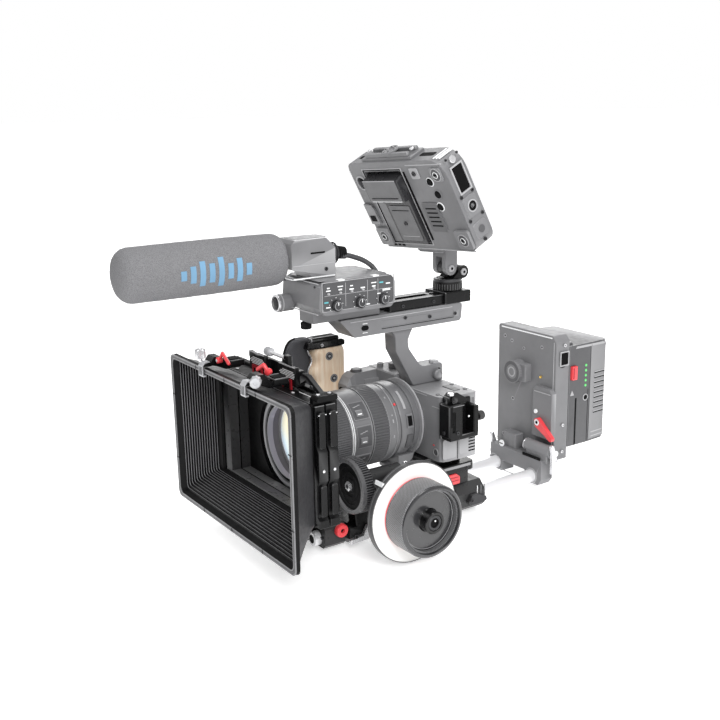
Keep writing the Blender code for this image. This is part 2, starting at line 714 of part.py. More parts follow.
def cable_route():
    """Points along the cable from the plug's boot over and down to the audio box's back."""
    knots = [
        (0, 140.8, 275.6), (-1, 150, 273.5), (-3, 163, 268.5), (-5, 175, 261), (-7, 183, 252),
        (-7, 184.5, 244), (-7, 181, 239), (-7, AUDIO_BACK + 1.2, 238),
    ]
    knots = [Vector(knot) for knot in knots]
    padded = [knots[0] * 2 - knots[1], *knots, knots[-1] * 2 - knots[-2]]
    route = []
    for a, b, c, d in zip(padded, padded[1:], padded[2:], padded[3:]):
        for step in range(3):
            t = step / 3
            curved = (-a + 3 * b - 3 * c + d) * t**3 + (2 * a - 5 * b + 4 * c - d) * t**2
            route.append((curved + (c - a) * t + 2 * b) / 2)
    return [*route, knots[-1]]


# ---- Monitor ----


def knuckle(centre, low, high, radius=7.0):
    """A round lug about a pivot that runs along X."""
    _, y, z = centre
    return drum((low, y, z), (high, y, z), radius, sides=20)


def monitor_arm():
    """The swivelling base and the short link between its two tilt pivots."""
    _, y, z = LOWER_PIVOT
    nut = [(0, 240), (9, 240), (15.8, 236), (15.8, 228.2), (14.8, 227.3), (0, 227.3)]
    base = turned(nut, (0, 270, 0), (0, 0, 1), 28)
    post = slab(
        [(264, 236), (277, 236), (y + 6, z - 2), (y + 4, z + 3), (y - 4, z + 5), (y - 7, z)],
        "X", -12, 12,
    )
    slot = drum((-5.4, y, z), (5.4, y, z), 18, sides=32)
    piece("swivel_base", "grey_metal", base, [post, knuckle(LOWER_PIVOT, -12, 12)], [slot])
    lower, upper = Vector(LOWER_PIVOT), Vector(UPPER_PIVOT)
    along = (upper - lower).normalized()
    side = Vector((0, -along.z, along.y)) * 5
    ends = [lower - side, upper - side, upper + side, lower + side]
    link = slab([(point.y, point.z) for point in ends], "X", -5, 5)
    piece(
        "tilt_arm", "grey_metal", link,
        [knuckle(LOWER_PIVOT, -5, 5, 6.6), knuckle(UPPER_PIVOT, -5, 5, 6.6)], pivot=LOWER_PIVOT,
    )


def monitor():
    """The monitor cage and the display in it, leaned back on the upper pivot."""
    frame = [(-77, 0), (77, 0), (77, 103.5), (-77, 103.5)]
    outline = filleted(frame, (15, 13, 20, 7), 5)
    base = slab(outline, "Y", 0, 26.2, 1.5)
    inner = filleted([(-72.5, 4.5), (72.5, 4.5), (72.5, 99), (-72.5, 99)], (11, 9, 16, 3), 5)
    joins = [
        box((-52, 30), (3, 23), (102.5, 106.5), 0.8),
        box((-46, 24), (4.5, 9), (106, 110), 0.6),
        box((-46, 24), (17, 21.5), (106, 110), 0.6),
        box((-27, 15), (4, 24), (-6, 1), 1),
    ]
    window = [(-35, 8.5), (8, 8.5), (8, 93), (-52, 93), (-52, 58), (-35, 54)]
    cuts = [
        slab(inner, "Y", 5, 28),
        slab(filleted(window, 2), "Y", -2, 7),
        drum((-64, -2, 80), (-64, 7, 80), 7, sides=24),
    ]
    for shape in (base, *joins, *cuts):
        leaned(shape, MONITOR_EDGE, MONITOR_TURN)
    _, y, z = UPPER_PIVOT
    cheeks = box((-11, 11), (y - 8, y + 9), (z, z + 27.5), 0.8)
    joins += [cheeks, knuckle(UPPER_PIVOT, -11, 11, 7.5)]
    cuts.append(box((-5.4, 5.4), (y - 16, y + 22), (z - 9, z + 12)))
    piece("monitor_cage", "grey_metal", base, joins, cuts, pivot=UPPER_PIVOT)
    skin = filleted([(-72, 5), (72, 5), (72, 98.5), (-72, 98.5)], (10.5, 8.5, 15.5, 2.5), 5)
    display = slab(skin, "Y", 5.4, 25.8)
    hatch = [(-34.5, 9), (7.5, 9), (7.5, 70), (-34.5, 70)]
    cell = [(-9, 62), (6, 60), (6, 90), (-9, 86)]
    joins = [
        slab(filleted(hatch, 2), "Y", -4, 6, 0.8),
        slab([(y, z) for y, z in cell], "X", -51.5, 7.5, 1),
    ]
    for shape in (display, *joins):
        leaned(shape, MONITOR_EDGE, MONITOR_TURN)
    piece("monitor_display", "grey_plastic", display, joins, pivot=UPPER_PIVOT)


# ---- Follow focus ----


def follow_focus():
    """The follow focus: bridge and gearbox, drive gear, hand wheel, disc and clamp lever."""
    block = [(-44, -9), (42, -9), (46, -4), (46, 8), (40, 12), (-44, 12)]
    base = slab(filleted(block, 1, 1), "Y", 108, 134)
    joins = [
        slab([(117, 4), (132.5, 4), (158, 28), (158, 51), (128, 58), (112, 50)], "X", 31, 46, 1),
        box((46, 90), (127, 160), (22, 53), 2),
        drum((GEAR_X, 110.5, GEAR_Z), (GEAR_X, 158, GEAR_Z), 11.5, sides=24),
        drum((88, WHEEL_Y, WHEEL_Z), (97, WHEEL_Y, WHEEL_Z), 13, sides=24),
    ]
    piece("ff_bridge", "black_metal", base, joins, rod_bores(107, 141))
    toothed = [
        (GEAR_RADIUS - 1, 0), (GEAR_RADIUS, -1), (GEAR_RADIUS, -9), (GEAR_RADIUS - 1, -10),
        (6, -10), (6, -12), (0, -12),
    ]
    dish = [(0, 1.5), (6, 1.5), (6, -3), (GEAR_RADIUS - 4, -2), (GEAR_RADIUS - 4, 0)]
    gear = turned([*dish, *toothed], (GEAR_X, 98, GEAR_Z), (0, -1, 0), 36)
    piece("ff_drive_gear", "dark_plastic", gear)
    hub = (0, WHEEL_Y, WHEEL_Z)
    wheel = [
        (0, 125), (6, 125), (6, 138), (9.5, 138), (9.5, 129), (WHEEL_RADIUS - 4.5, 129),
        (WHEEL_RADIUS - 3, 140), (WHEEL_RADIUS - 1, 140), (WHEEL_RADIUS, 139),
        (WHEEL_RADIUS, 134), (30.5, 107.5), (30.5, 97.4), (0, 97.4),
    ]
    piece("ff_hand_wheel", "grey_metal", turned(wheel, hub, (1, 0, 0)))
    disc = [
        (30.9, 107.4), (DISC_RADIUS - 1.6, 107.4), (DISC_RADIUS - 1.2, 107.8), (DISC_RADIUS, 107.4),
        (DISC_RADIUS, 101), (DISC_RADIUS - 1, 100.5), (30.9, 100.5),
    ]
    piece("ff_marking_disc", "white", turned(disc, hub, (1, 0, 0), 48))
    lever = filleted([(106, -8), (128, -7), (133, 6), (127, 9), (122, -1), (106, -3)], 1, 1)
    piece(
        "ff_clamp_lever", "silver",
        slab(lever, "X", 46.6, 51.5, 0.6), pivot=(49, 128, 2),
    )


# ---- Battery end ----


def power_end():
    """The rear rod clamp, battery plate, battery and their levers and button."""
    front, back = POWER_FRONT, POWER_BACK
    low = [
        (-41, -2), (-38, -9), (-19, -9), (-19, 4), (19, 4), (19, -9), (41, -9), (46, -2),
        (46, 22), (-41, 22),
    ]
    base = slab(filleted(low, 1, 1), "Y", 371, front - GAP)
    joins = [
        drum((14, 379, 33), (55, 379, 33), 7, sides=20),
        box((18, 52), (373, front - GAP), (20, 34), 0.8),
        box((-24, -2), (375, front - GAP), (20, 40), 1),
    ]
    piece("rear_clamp", "grey_metal", base, joins, rod_bores(370, 390))
    near = filleted([(375, 8), (385, 8), (383, 24), (377, 43), (373, 43), (375, 24)], 1, 1)
    far = filleted([(375, 4), (385, 4), (383, 18), (377, 33), (373, 33), (375, 18)], 1, 1)
    piece("rear_lever_near", "silver", slab(near, "X", 55.5, 60, 0.6), pivot=(58, 380, 13))
    piece("rear_lever_far", "silver", slab(far, "X", -46, -41.5, 0.6), pivot=(-43.7, 380, 9))
    outline = [(-50, 18), (47, 18), (47, 158), (41, 165), (-50, 165)]
    plate = slab(filleted(outline, (1, 1, 2, 2, 2), 1), "Y", front, back, 0.8)
    slide = [(17, 44), (48, 44), (48, 99), (44, 104), (21, 104), (17, 99)]
    joins = [
        slab(filleted(slide, 1, 1), "Y", 383, front + 1, 0.8),
        drum((-12, 376, 115), (-12, front + 1, 115), 13.5, sides=28),
        box((-10, 7), (380, front + 1), (105, 126), 1),
    ]
    dovetail = filleted([(-24, 30), (24, 30), (33, 120), (-33, 120)], 2, 1)
    cuts = [
        box((44, 48), (396, 403), (128, 146)),
        slab(dovetail, "Y", back - 4, back + 1),
    ]
    piece("battery_plate", "grey_metal", plate, joins, cuts)
    arm = filleted([(25, 66), (31, 69), (36, 65), (55, 49), (53, 44), (41, 51), (27, 58)], 2, 2)
    piece("plate_lever", "red", slab(arm, "Y", 377.5, 382.6, 0.7), pivot=(30.5, 380, 63.5))
    battery()


def battery():
    """The battery block with its dovetail tongue, ribbed back corners and release button."""
    half, front = 46.5, POWER_BACK + 1
    plan = [
        (-half, front), (half, front), (half, 442), (44, 474), (-44, 474), (-half, 442),
    ]
    base = slab(filleted(plan, (1, 1, 8, 7, 7, 8)), "Z", 31, 151, 2.5, 2)
    tongue = filleted([(-22, 34), (22, 34), (28, 90), (-28, 90)], 2, 1)
    joins = [
        slab(tongue, "Y", POWER_BACK - 3.4, front + 1),
        box((-42, 42), (front + 2, front + 9), (149, 153.5), 1),
    ]
    cuts = [
        box(sorted((side * 42, side * 56)), (450, 478), (z, z + 2.2))
        for side in (-1, 1)
        for z in range(68, 114, 6)
    ]
    cuts.append(box((half - 3, half + 4), (412.6, 421.4), (110.6, 127.4)))
    piece("battery", "grey_plastic", base, joins, cuts)
    piece("battery_release", "red", box((half - 1, half + 3.5), (413, 421), (111, 127), 0.5))


for build in (
    hood, matte_stage, flag_hardware, tray_latch_block, matte_rod_clamp, rods, baseplate,
    camera, lens, side_grip, cable_bracket, top_handle, monitor_bracket, audio_module,
    microphone, monitor_arm, monitor, follow_focus, power_end,
):
    build()
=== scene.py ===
"""A cinema camera rig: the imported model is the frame, and the finish and the small trim are made here."""
import math

import bmesh
import bpy
from mathutils import Matrix, Vector


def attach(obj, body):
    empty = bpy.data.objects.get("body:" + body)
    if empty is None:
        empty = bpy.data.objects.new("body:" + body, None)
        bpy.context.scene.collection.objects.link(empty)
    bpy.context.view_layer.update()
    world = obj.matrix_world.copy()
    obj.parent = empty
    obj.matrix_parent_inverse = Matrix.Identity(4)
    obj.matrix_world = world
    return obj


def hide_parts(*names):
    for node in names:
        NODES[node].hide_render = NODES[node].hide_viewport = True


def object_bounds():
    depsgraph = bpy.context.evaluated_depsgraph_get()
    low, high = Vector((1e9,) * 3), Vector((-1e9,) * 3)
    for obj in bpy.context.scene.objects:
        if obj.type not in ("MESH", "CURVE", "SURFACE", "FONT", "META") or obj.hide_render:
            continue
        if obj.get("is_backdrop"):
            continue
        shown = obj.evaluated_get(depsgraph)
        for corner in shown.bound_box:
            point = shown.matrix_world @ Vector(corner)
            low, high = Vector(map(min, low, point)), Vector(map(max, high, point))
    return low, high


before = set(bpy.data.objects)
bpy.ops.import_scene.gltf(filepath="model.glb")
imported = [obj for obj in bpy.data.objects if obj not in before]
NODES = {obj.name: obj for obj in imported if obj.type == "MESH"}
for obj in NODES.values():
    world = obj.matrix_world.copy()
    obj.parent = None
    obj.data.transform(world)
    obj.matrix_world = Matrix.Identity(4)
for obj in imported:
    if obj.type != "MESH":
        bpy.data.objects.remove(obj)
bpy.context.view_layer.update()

scene = bpy.context.scene
MM = 0.001
SHARP_ANGLE, BATTERY_ANGLE = 34, 3    # degrees between faces from which an edge is drawn sharp
WELD_MM = 0.004
# Trim is laid out in millimetres, with the rod clamp's front face as y 0 and the rods' centre as z 0.
TO_WORLD = Matrix.Scale(MM, 4) @ Matrix.Translation((0, -235, 14))
AXES = {"x": Vector((1, 0, 0)), "y": Vector((0, 1, 0)), "z": Vector((0, 0, 1))}
AWAY = (0, -1, 0)    # towards the open end of the hood
EVEN = (0, 0, 1, 1)    # teeth as wide as their gaps


def srgb(red, green, blue):
    """A colour given as 0 to 255 display values, as the linear numbers that shaders take."""
    def linear(value):
        value /= 255
        return value / 12.92 if value <= 0.04045 else ((value + 0.055) / 1.055) ** 2.4
    return tuple(linear(v) for v in (red, green, blue))


# ---------------------------------------------------------------- materials

def shaded(colour, factor):
    return (*(min(1, c * factor) for c in colour), 1)


class Nodes:
    """A short way to write a node tree."""

    def __init__(self, name):
        self.material = bpy.data.materials.new(name)
        self.material.use_nodes = True
        self.tree = self.material.node_tree
        self.shader = self.tree.nodes["Principled BSDF"]
        self.where = self.add("TexCoord").outputs["Object"]

    def add(self, kind, **values):
        node = self.tree.nodes.new("ShaderNode" + kind)
        for key, value in values.items():
            setattr(node, key, value)
        return node

    def join(self, source, target):
        self.tree.links.new(source, target)

    def feed(self, sockets, values):
        """Join each socket to a value that is a socket itself, or set it to a plain number or colour."""
        for socket, value in zip(sockets, values):
            if isinstance(value, bpy.types.NodeSocket):
                self.join(value, socket)
            else:
                socket.default_value = value

    def stretched(self, scale):
        mapping = self.add("Mapping")
        mapping.inputs["Scale"].default_value = scale
        self.join(self.where, mapping.inputs["Vector"])
        return mapping.outputs["Vector"]

    def noise(self, scale, detail=3, vector=None):
        node = self.add("TexNoise")
        node.inputs["Scale"].default_value = scale
        node.inputs["Detail"].default_value = detail
        self.join(vector or self.where, node.inputs["Vector"])
        return node.outputs["Fac"]

    def mixed(self, factor, low, high):
        node = self.add("Mix", data_type="RGBA")
        self.feed((node.inputs[0], node.inputs[6], node.inputs[7]), (factor, low, high))
        return node.outputs[2]

    def math(self, operation, *values):
        node = self.add("Math", operation=operation)
        self.feed(node.inputs, values)
        return node.outputs[0]

    def ranged(self, value, low, high, to_low=0, to_high=1):
        node = self.add("MapRange")
        self.join(value, node.inputs["Value"])
        for socket, number in zip(("From Min", "From Max", "To Min", "To Max"), (low, high, to_low, to_high)):
            node.inputs[socket].default_value = number
        return node.outputs["Result"]

    def set(self, **values):
        """Numbers on the shader's own sockets, with an underscore for each space in a name."""
        for name, value in values.items():
            self.shader.inputs[name.replace("_", " ")].default_value = value

    def tone(self, factor, low, high):
        """The base colour, between two display colours."""
        self.join(self.mixed(factor, (*srgb(*low), 1), (*srgb(*high), 1)), self.shader.inputs["Base Color"])

    def gloss(self, scale, low, high):
        """Roughness that drifts between two values."""
        self.join(self.ranged(self.noise(scale), 0.3, 0.7, low, high), self.shader.inputs["Roughness"])

    def bump(self, height, depth_mm):
        node = self.add("Bump")
        node.inputs["Strength"].default_value = 1
        node.inputs["Distance"].default_value = depth_mm * MM
        self.join(height, node.inputs["Height"])
        self.join(node.outputs["Normal"], self.shader.inputs["Normal"])


def finish(name, display, rough, metal=0, vary=0.1, patch=35, grain=900, depth=0.03,
           spread=0.08, specular=0.5, coat=0, edge_highlight=0, stretch=None):
    """Paint, metal or moulded plastic: tone and gloss drift over it, a fine grain, and edges painted lighter as a
    highlight.
    """
    n, colour = Nodes(name), srgb(*display)
    vector = n.stretched(stretch) if stretch else None
    drift = n.ranged(n.noise(patch, 4, vector), 0.3, 0.7)
    tone = n.mixed(drift, shaded(colour, 1 - vary), shaded(colour, 1 + vary))
    # Convex edges are painted towards a light grey: a painted highlight for the light that edges catch.
    if edge_highlight:
        edge = n.ranged(n.add("NewGeometry").outputs["Pointiness"], 0.535, 0.62, 0, edge_highlight)
        tone = n.mixed(edge, tone, (0.62, 0.62, 0.63, 1))
    n.join(tone, n.shader.inputs["Base Color"])
    n.join(n.ranged(n.noise(patch * 5, 3, vector), 0.3, 0.7, rough - spread, rough + spread),
           n.shader.inputs["Roughness"])
    n.bump(n.noise(grain, 2, vector), depth)
    n.set(Metallic=metal, Specular_IOR_Level=specular, Coat_Weight=coat, Coat_Roughness=0.15)
    return n.material


def wood_finish():
    """Pale sealed wood, its grain running up the grip."""
    n = Nodes("pale_wood")
    long = n.stretched((1, 1, 0.07))
    streak = n.noise(330, 6, long)
    fibre = n.noise(1500, 3, long)
    tone = n.mixed(n.ranged(streak, 0.32, 0.68), (*srgb(232, 202, 170), 1), (*srgb(252, 236, 214), 1))
    tone = n.mixed(n.ranged(fibre, 0.35, 0.75, 0, 0.3), tone, (*srgb(206, 168, 132), 1))
    n.join(tone, n.shader.inputs["Base Color"])
    n.join(n.ranged(fibre, 0.2, 0.8, 0.38, 0.55), n.shader.inputs["Roughness"])
    n.bump(streak, 0.12)
    return n.material


WHEEL_Y, WHEEL_Z = -0.0916, 0.0511    # the hand wheel's axis, in metres


def knurl_finish():
    """Dark anodised grip with a fine diamond cut, for the hand wheel turning about its own axis; its colour is
    painted darker in the cuts and lighter on the ridges, as painted shade and highlight.
    """
    n = Nodes("diamond_knurl_painted_shade")
    split = n.add("SeparateXYZ")
    n.join(n.where, split.inputs[0])
    y, z = n.math("SUBTRACT", split.outputs[1], WHEEL_Y), n.math("SUBTRACT", split.outputs[2], WHEEL_Z)
    turn = n.math("MULTIPLY", n.math("ARCTAN2", z, y), 58)
    rise = n.math("MULTIPLY", split.outputs[0], 1500)
    cuts = [n.math("ABSOLUTE", n.math("SINE", n.math(kind, turn, rise))) for kind in ("ADD", "SUBTRACT")]
    height = n.math("MINIMUM", *cuts)
    # The tone follows the cut depth: painted shade in the cuts and painted highlight on the ridges.
    n.tone(n.ranged(height, 0.05, 0.6), (20, 20, 21), (140, 140, 142))
    n.gloss(90, 0.3, 0.42)
    n.set(Metallic=0.3)
    n.bump(height, 0.2)
    return n.material


def foam_finish():
    """Open-cell foam: a matt grey full of small pits, painted darker in the pits as painted shade."""
    n = Nodes("grey_foam_pit_shade")
    cells = n.add("TexVoronoi")
    cells.inputs["Scale"].default_value = 1300
    n.join(n.where, cells.inputs["Vector"])
    pits = cells.outputs["Distance"]
    # Darker in the pits: painted shade.
    n.tone(n.ranged(pits, 0, 0.6), (84, 84, 86), (122, 122, 124))
    n.gloss(80, 0.85, 1)
    n.bump(pits, 0.3)
    n.set(Specular_IOR_Level=0.2)
    return n.material


def woven_finish():
    """Dense black webbing, painted lighter where the weave rises and darker between the threads, as painted
    highlight and shade.
    """
    n = Nodes("black_webbing_weave_shade")
    waves = []
    for direction in ("Y", "Z"):
        wave = n.add("TexWave", bands_direction=direction)
        wave.inputs["Scale"].default_value = 260
        wave.inputs["Distortion"].default_value = 0.4
        n.join(n.where, wave.inputs["Vector"])
        waves.append(wave.outputs["Fac"])
    weave = n.math("MAXIMUM", *waves)
    # Lighter where the weave rises and darker between the threads: painted highlight and painted shade.
    n.tone(weave, (24, 24, 26), (92, 92, 96))
    n.gloss(120, 0.7, 0.9)
    n.bump(weave, 0.35)
    return n.material


def glowing_glass_finish():
    """The front element: dark inside, with the coating's coloured sheen painted into its colour by viewing angle,
    a painted reflection, and made to glow as painted light.
    """
    n = Nodes("coated_glass_painted_glow")
    weight = n.add("LayerWeight")
    weight.inputs["Blend"].default_value = 0.35
    ramp = n.add("ValToRGB")
    stops = ((0, (168, 178, 206)), (0.3, (196, 180, 224)), (0.5, (236, 226, 190)), (0.75, (206, 228, 240)),
             (1, (250, 250, 255)))
    while len(ramp.color_ramp.elements) < len(stops):
        ramp.color_ramp.elements.new(0.5)
    for element, (place, colour) in zip(ramp.color_ramp.elements, stops):
        element.position, element.color = place, (*srgb(*colour), 1)
    drift = n.math("MULTIPLY_ADD", n.noise(18, 1), 0.9, -0.35)
    n.join(n.math("ADD", weight.outputs["Facing"], drift), ramp.inputs["Fac"])
    n.join(ramp.outputs["Color"], n.shader.inputs["Base Color"])
    n.join(ramp.outputs["Color"], n.shader.inputs["Emission Color"])
    n.gloss(60, 0.04, 0.1)
    # Emission makes the glass glow: painted light that brightens it inside the dark hood.
    n.set(Emission_Strength=0.85, Coat_Weight=1, Coat_Roughness=0.03)
    return n.material


BLACK = finish("black_anodised", (13, 13, 14), 0.32, vary=0.3, specular=0.2, edge_highlight=0.3)
HOOD_BLACK = finish("hood_black", (6, 6, 7), 0.46, vary=0.3, grain=1400, depth=0.04, specular=0.16)
# A lighter copy of the hood's black for its outer walls: painted light, so the outside reads brighter than the
# inside.
HOOD_OUTER_PAINTED_LIGHT = finish("hood_outer_painted_light", (52, 52, 54), 0.42, vary=0.15, grain=1400, depth=0.04,
                    specular=0.3)
WHEEL_BLACK = finish("wheel_gloss_grey", (46, 46, 48), 0.2, vary=0.12, specular=0.6, coat=0.4, depth=0.01)
PANEL_GREY = finish("control_panel_grey", (72, 72, 74), 0.36, specular=0.4)
GLOSS_BLACK = finish("gloss_black", (8, 8, 9), 0.16, vary=0.2, specular=0.3, coat=0.3)
# Near-black painted into holes, sockets, slots, vents, seams and gaps as painted shade. It is also the own colour
# of a few small black parts, such as the monitor's buttons.
RECESS_SHADE_AND_BLACK = finish("painted_recess_shade_and_black_parts", (12, 12, 13), 0.7, vary=0.3, specular=0.1)
RUBBER = finish("black_rubber", (20, 20, 21), 0.6, vary=0.2, grain=1800, depth=0.04, specular=0.18)
EDGE_GREY = finish("machined_edge", (120, 120, 122), 0.34, metal=0.4, vary=0.12, depth=0.01)
RIM_GREY = finish("hood_rim_grey", (62, 62, 64), 0.34, metal=0.3, vary=0.12, depth=0.01)
# Grey for the pleats' crests: a painted highlight.
PLEAT_CREST_HIGHLIGHT = finish("pleat_crest_painted_highlight", (128, 128, 130), 0.4, vary=0.15, depth=0.01)
CHARCOAL = finish("charcoal_anodised", (44, 44, 46), 0.3, vary=0.12, specular=0.35, edge_highlight=0.3)
DARK = finish("dark_grey_shell", (80, 80, 82), 0.46, vary=0.08, specular=0.4, edge_highlight=0.35)
GREY = finish("mid_grey_shell", (118, 118, 120), 0.48, vary=0.06, specular=0.4, edge_highlight=0.4)
PALE = finish("pale_grey_shell", (158, 158, 160), 0.46, vary=0.05, specular=0.4, edge_highlight=0.3)
CAMERA_GREY = finish("camera_shell_grey", (130, 130, 132), 0.46, vary=0.06, grain=1300, specular=0.4, edge_highlight=0.35)
CAGE_GREY = finish("cage_grey", (112, 112, 114), 0.4, vary=0.07, specular=0.45, edge_highlight=0.45)
LENS_GREY = finish("lens_grey", (108, 108, 110), 0.36, vary=0.05, edge_highlight=0.3)
LENS_DARK = finish("lens_ring_grey", (82, 82, 84), 0.5, vary=0.08, specular=0.35, depth=0.015)
WHITE = finish("white_marking", (238, 239, 240), 0.45, vary=0.03, depth=0.01)
DISC_WHITE = finish("white_disc", (246, 246, 244), 0.6, vary=0.02, grain=600, depth=0.02)
BLUE = finish("light_blue_marking", (104, 144, 174), 0.6, vary=0.08, depth=0.05)
TEAL = finish("teal_marking", (94, 178, 186), 0.45, vary=0.06, depth=0.01)
SILVER = finish("turned_silver", (214, 214, 216), 0.26, metal=0.75, vary=0.05, depth=0.004)
ROD = finish("polished_rod", (234, 234, 236), 0.3, metal=0.35, vary=0.04, patch=12, depth=0.003,
             stretch=(1, 0.1, 1))
FROST = finish("frosted_silver", (190, 191, 194), 0.4, metal=0.45, vary=0.08, depth=0.01)
STEEL = finish("dark_steel", (58, 58, 60), 0.36, metal=0.5, vary=0.12, depth=0.01)
RED = finish("salmon_red", (226, 66, 72), 0.34, vary=0.07, depth=0.008, coat=0.25)
DARK_RED = finish("dark_red", (150, 22, 34), 0.36, vary=0.12, depth=0.01)
GOLD = finish("gold_contact", (226, 188, 96), 0.25, metal=0.9, vary=0.06)
GREEN = finish("green_light", (96, 208, 112), 0.35, vary=0.06, coat=0.4)
SCREEN = finish("dark_screen", (26, 28, 32), 0.12, depth=0, coat=0.6)
WOOD, FOAM, WEBBING, GLOWING_GLASS = wood_finish(), foam_finish(), woven_finish(), glowing_glass_finish()
KNURL_PAINTED_SHADE = knurl_finish()


# ---------------------------------------------------------------- carried-over nodes

DRESS = (
    (HOOD_BLACK, "hood matte_stage"),
    (BLACK, "filter_tray_front filter_tray_rear flag_bracket_far flag_bracket_near tray_latch_block "
           "matte_rod_clamp camera_plate rod_baseplate cable_bracket cable_clamp_knob monitor_bracket "
           "swivel_base tilt_arm ff_bridge"),
    (RED, "bracket_lever_far bracket_lever_near plate_latch plate_lever battery_release matte_clamp_knob"),
    (ROD, "rod_near rod_far"),
    (LENS_GREY, "lens_barrel lens_adapter"),
    (GLOWING_GLASS, "front_glass"),
    (CAMERA_GREY, "camera_body"),
    (PALE, "rear_screen"),
    (DARK, "record_button exposure_dial microphone battery level_dial_1 level_dial_2 level_dial_3"),
    (GLOSS_BLACK, "grip_rail"),
    (STEEL, "rod_lock_lever"),
    (CAGE_GREY, "top_handle audio_box mic_clamp monitor_cage"),
    (RUBBER, "mic_cable"),
    (CHARCOAL, "monitor_display ff_drive_gear"),
    (SILVER, "ff_clamp_lever rear_lever_near rear_lever_far bracket_knob_far swing_pin"),
    (DISC_WHITE, "ff_marking_disc"),
    (GREY, "rear_clamp battery_plate ff_hand_wheel"),
    (LENS_DARK, "focus_ring zoom_ring"),
    (FROST, "bracket_knob_near"),
    (FOAM, "windscreen"),
    (WEBBING, "hand_strap"),
    (WOOD, "wood_grip"),
)


def softened(obj, width_mm, split=SHARP_ANGLE):
    """Small rounded edges, and shading that stays flat on flat faces."""
    bevel = obj.modifiers.new("edges", "BEVEL")
    bevel.width, bevel.segments = width_mm * MM, 2
    bevel.limit_method, bevel.angle_limit = "ANGLE", math.radians(SHARP_ANGLE)
    cut = obj.modifiers.new("split", "EDGE_SPLIT")
    cut.split_angle = math.radians(split)
    obj.modifiers.new("flats", "WEIGHTED_NORMAL").keep_sharp = True


def dress(node, material, width_mm=0.35, split=SHARP_ANGLE):
    obj = NODES[node]
    obj.data.materials.clear()
    obj.data.materials.append(material)
    obj.data.polygons.foreach_set("use_smooth", [True] * len(obj.data.polygons))
    weld = obj.modifiers.new("weld", "WELD")
    weld.merge_threshold = WELD_MM * MM
    softened(obj, width_mm, split)


for material, names in DRESS:
    for node in names.split():
        dress(node, material, split=BATTERY_ANGLE if node == "battery" else SHARP_ANGLE)


# ---------------------------------------------------------------- a kit for small trim

def bridged(rings, count, closed=False):
    """Four-sided faces between neighbouring rings of points, and from the last to the first when closed."""
    faces = []
    for ring in range(rings if closed else rings - 1):
        for i in range(count):
            a, b = ring * count + i, ring * count + (i + 1) % count
            faces.append((a, b, (b + count) % (rings * count), (a + count) % (rings * count)))
    return faces


def caps(rings, count):
    """The two faces that close a row of rings."""
    last = (rings - 1) * count
    return [tuple(range(count - 1, -1, -1)), tuple(range(last, last + count))]


def rectangle(u0, u1, v0, v1):
    return [(u0, v0), (u1, v0), (u1, v1), (u0, v1)]


def rounded(half, low, high, radius, steps=5):
    """A rounded rectangle about the middle of its width."""
    points = []
    for turn, (sx, sz) in enumerate(((1, 1), (-1, 1), (-1, -1), (1, -1))):
        centre = (sx * (half - radius), (high - radius) if sz > 0 else (low + radius))
        for step in range(steps + 1):
            angle = math.radians(90 * turn + 90 * step / steps)
            points.append((centre[0] + radius * math.cos(angle), centre[1] + radius * math.sin(angle)))
    return points


def rounded_at(centre, size, radius, steps):
    outline = rounded(size[0] / 2, -size[1] / 2, size[1] / 2, radius, steps)
    return [(centre[0] + u, centre[1] + v) for u, v in outline]


def smooth(ends, steps):
    """Points on one smooth curve through all of ends but the first and the last."""
    path = []
    for a, b, c, d in zip(ends, ends[1:], ends[2:], ends[3:]):
        for t in (step / steps for step in range(steps)):
            path.append(0.5 * (2 * b + (c - a) * t + (2 * a - 5 * b + 4 * c - d) * t * t
                               + (3 * b - a - 3 * c + d) * t ** 3))
    return [*path, ends[-2]]


def turned(start, axis, profile, count, duty):
    """Points of rings of (radius, height) or (radius, height, depth) round an axis from start.

    A depth cuts teeth into its ring, and "hex" makes the ring six-sided."""
    axis = AXES[axis] if isinstance(axis, str) else Vector(axis).normalized()
    across = axis.orthogonal().normalized()
    up = axis.cross(across)
    points = []
    for radius, height, *cut in profile:
        for i in range(count):
            angle = math.tau * i / count
            r = radius
            if cut and cut[0] == "hex":
                r *= math.cos(math.pi / 6) / math.cos(angle % (math.pi / 3) - math.pi / 6)
            elif cut:
                r -= cut[0] * duty[i % len(duty)]
            points.append(Vector(start) + axis * height + (across * math.cos(angle) + up * math.sin(angle)) * r)
    return points


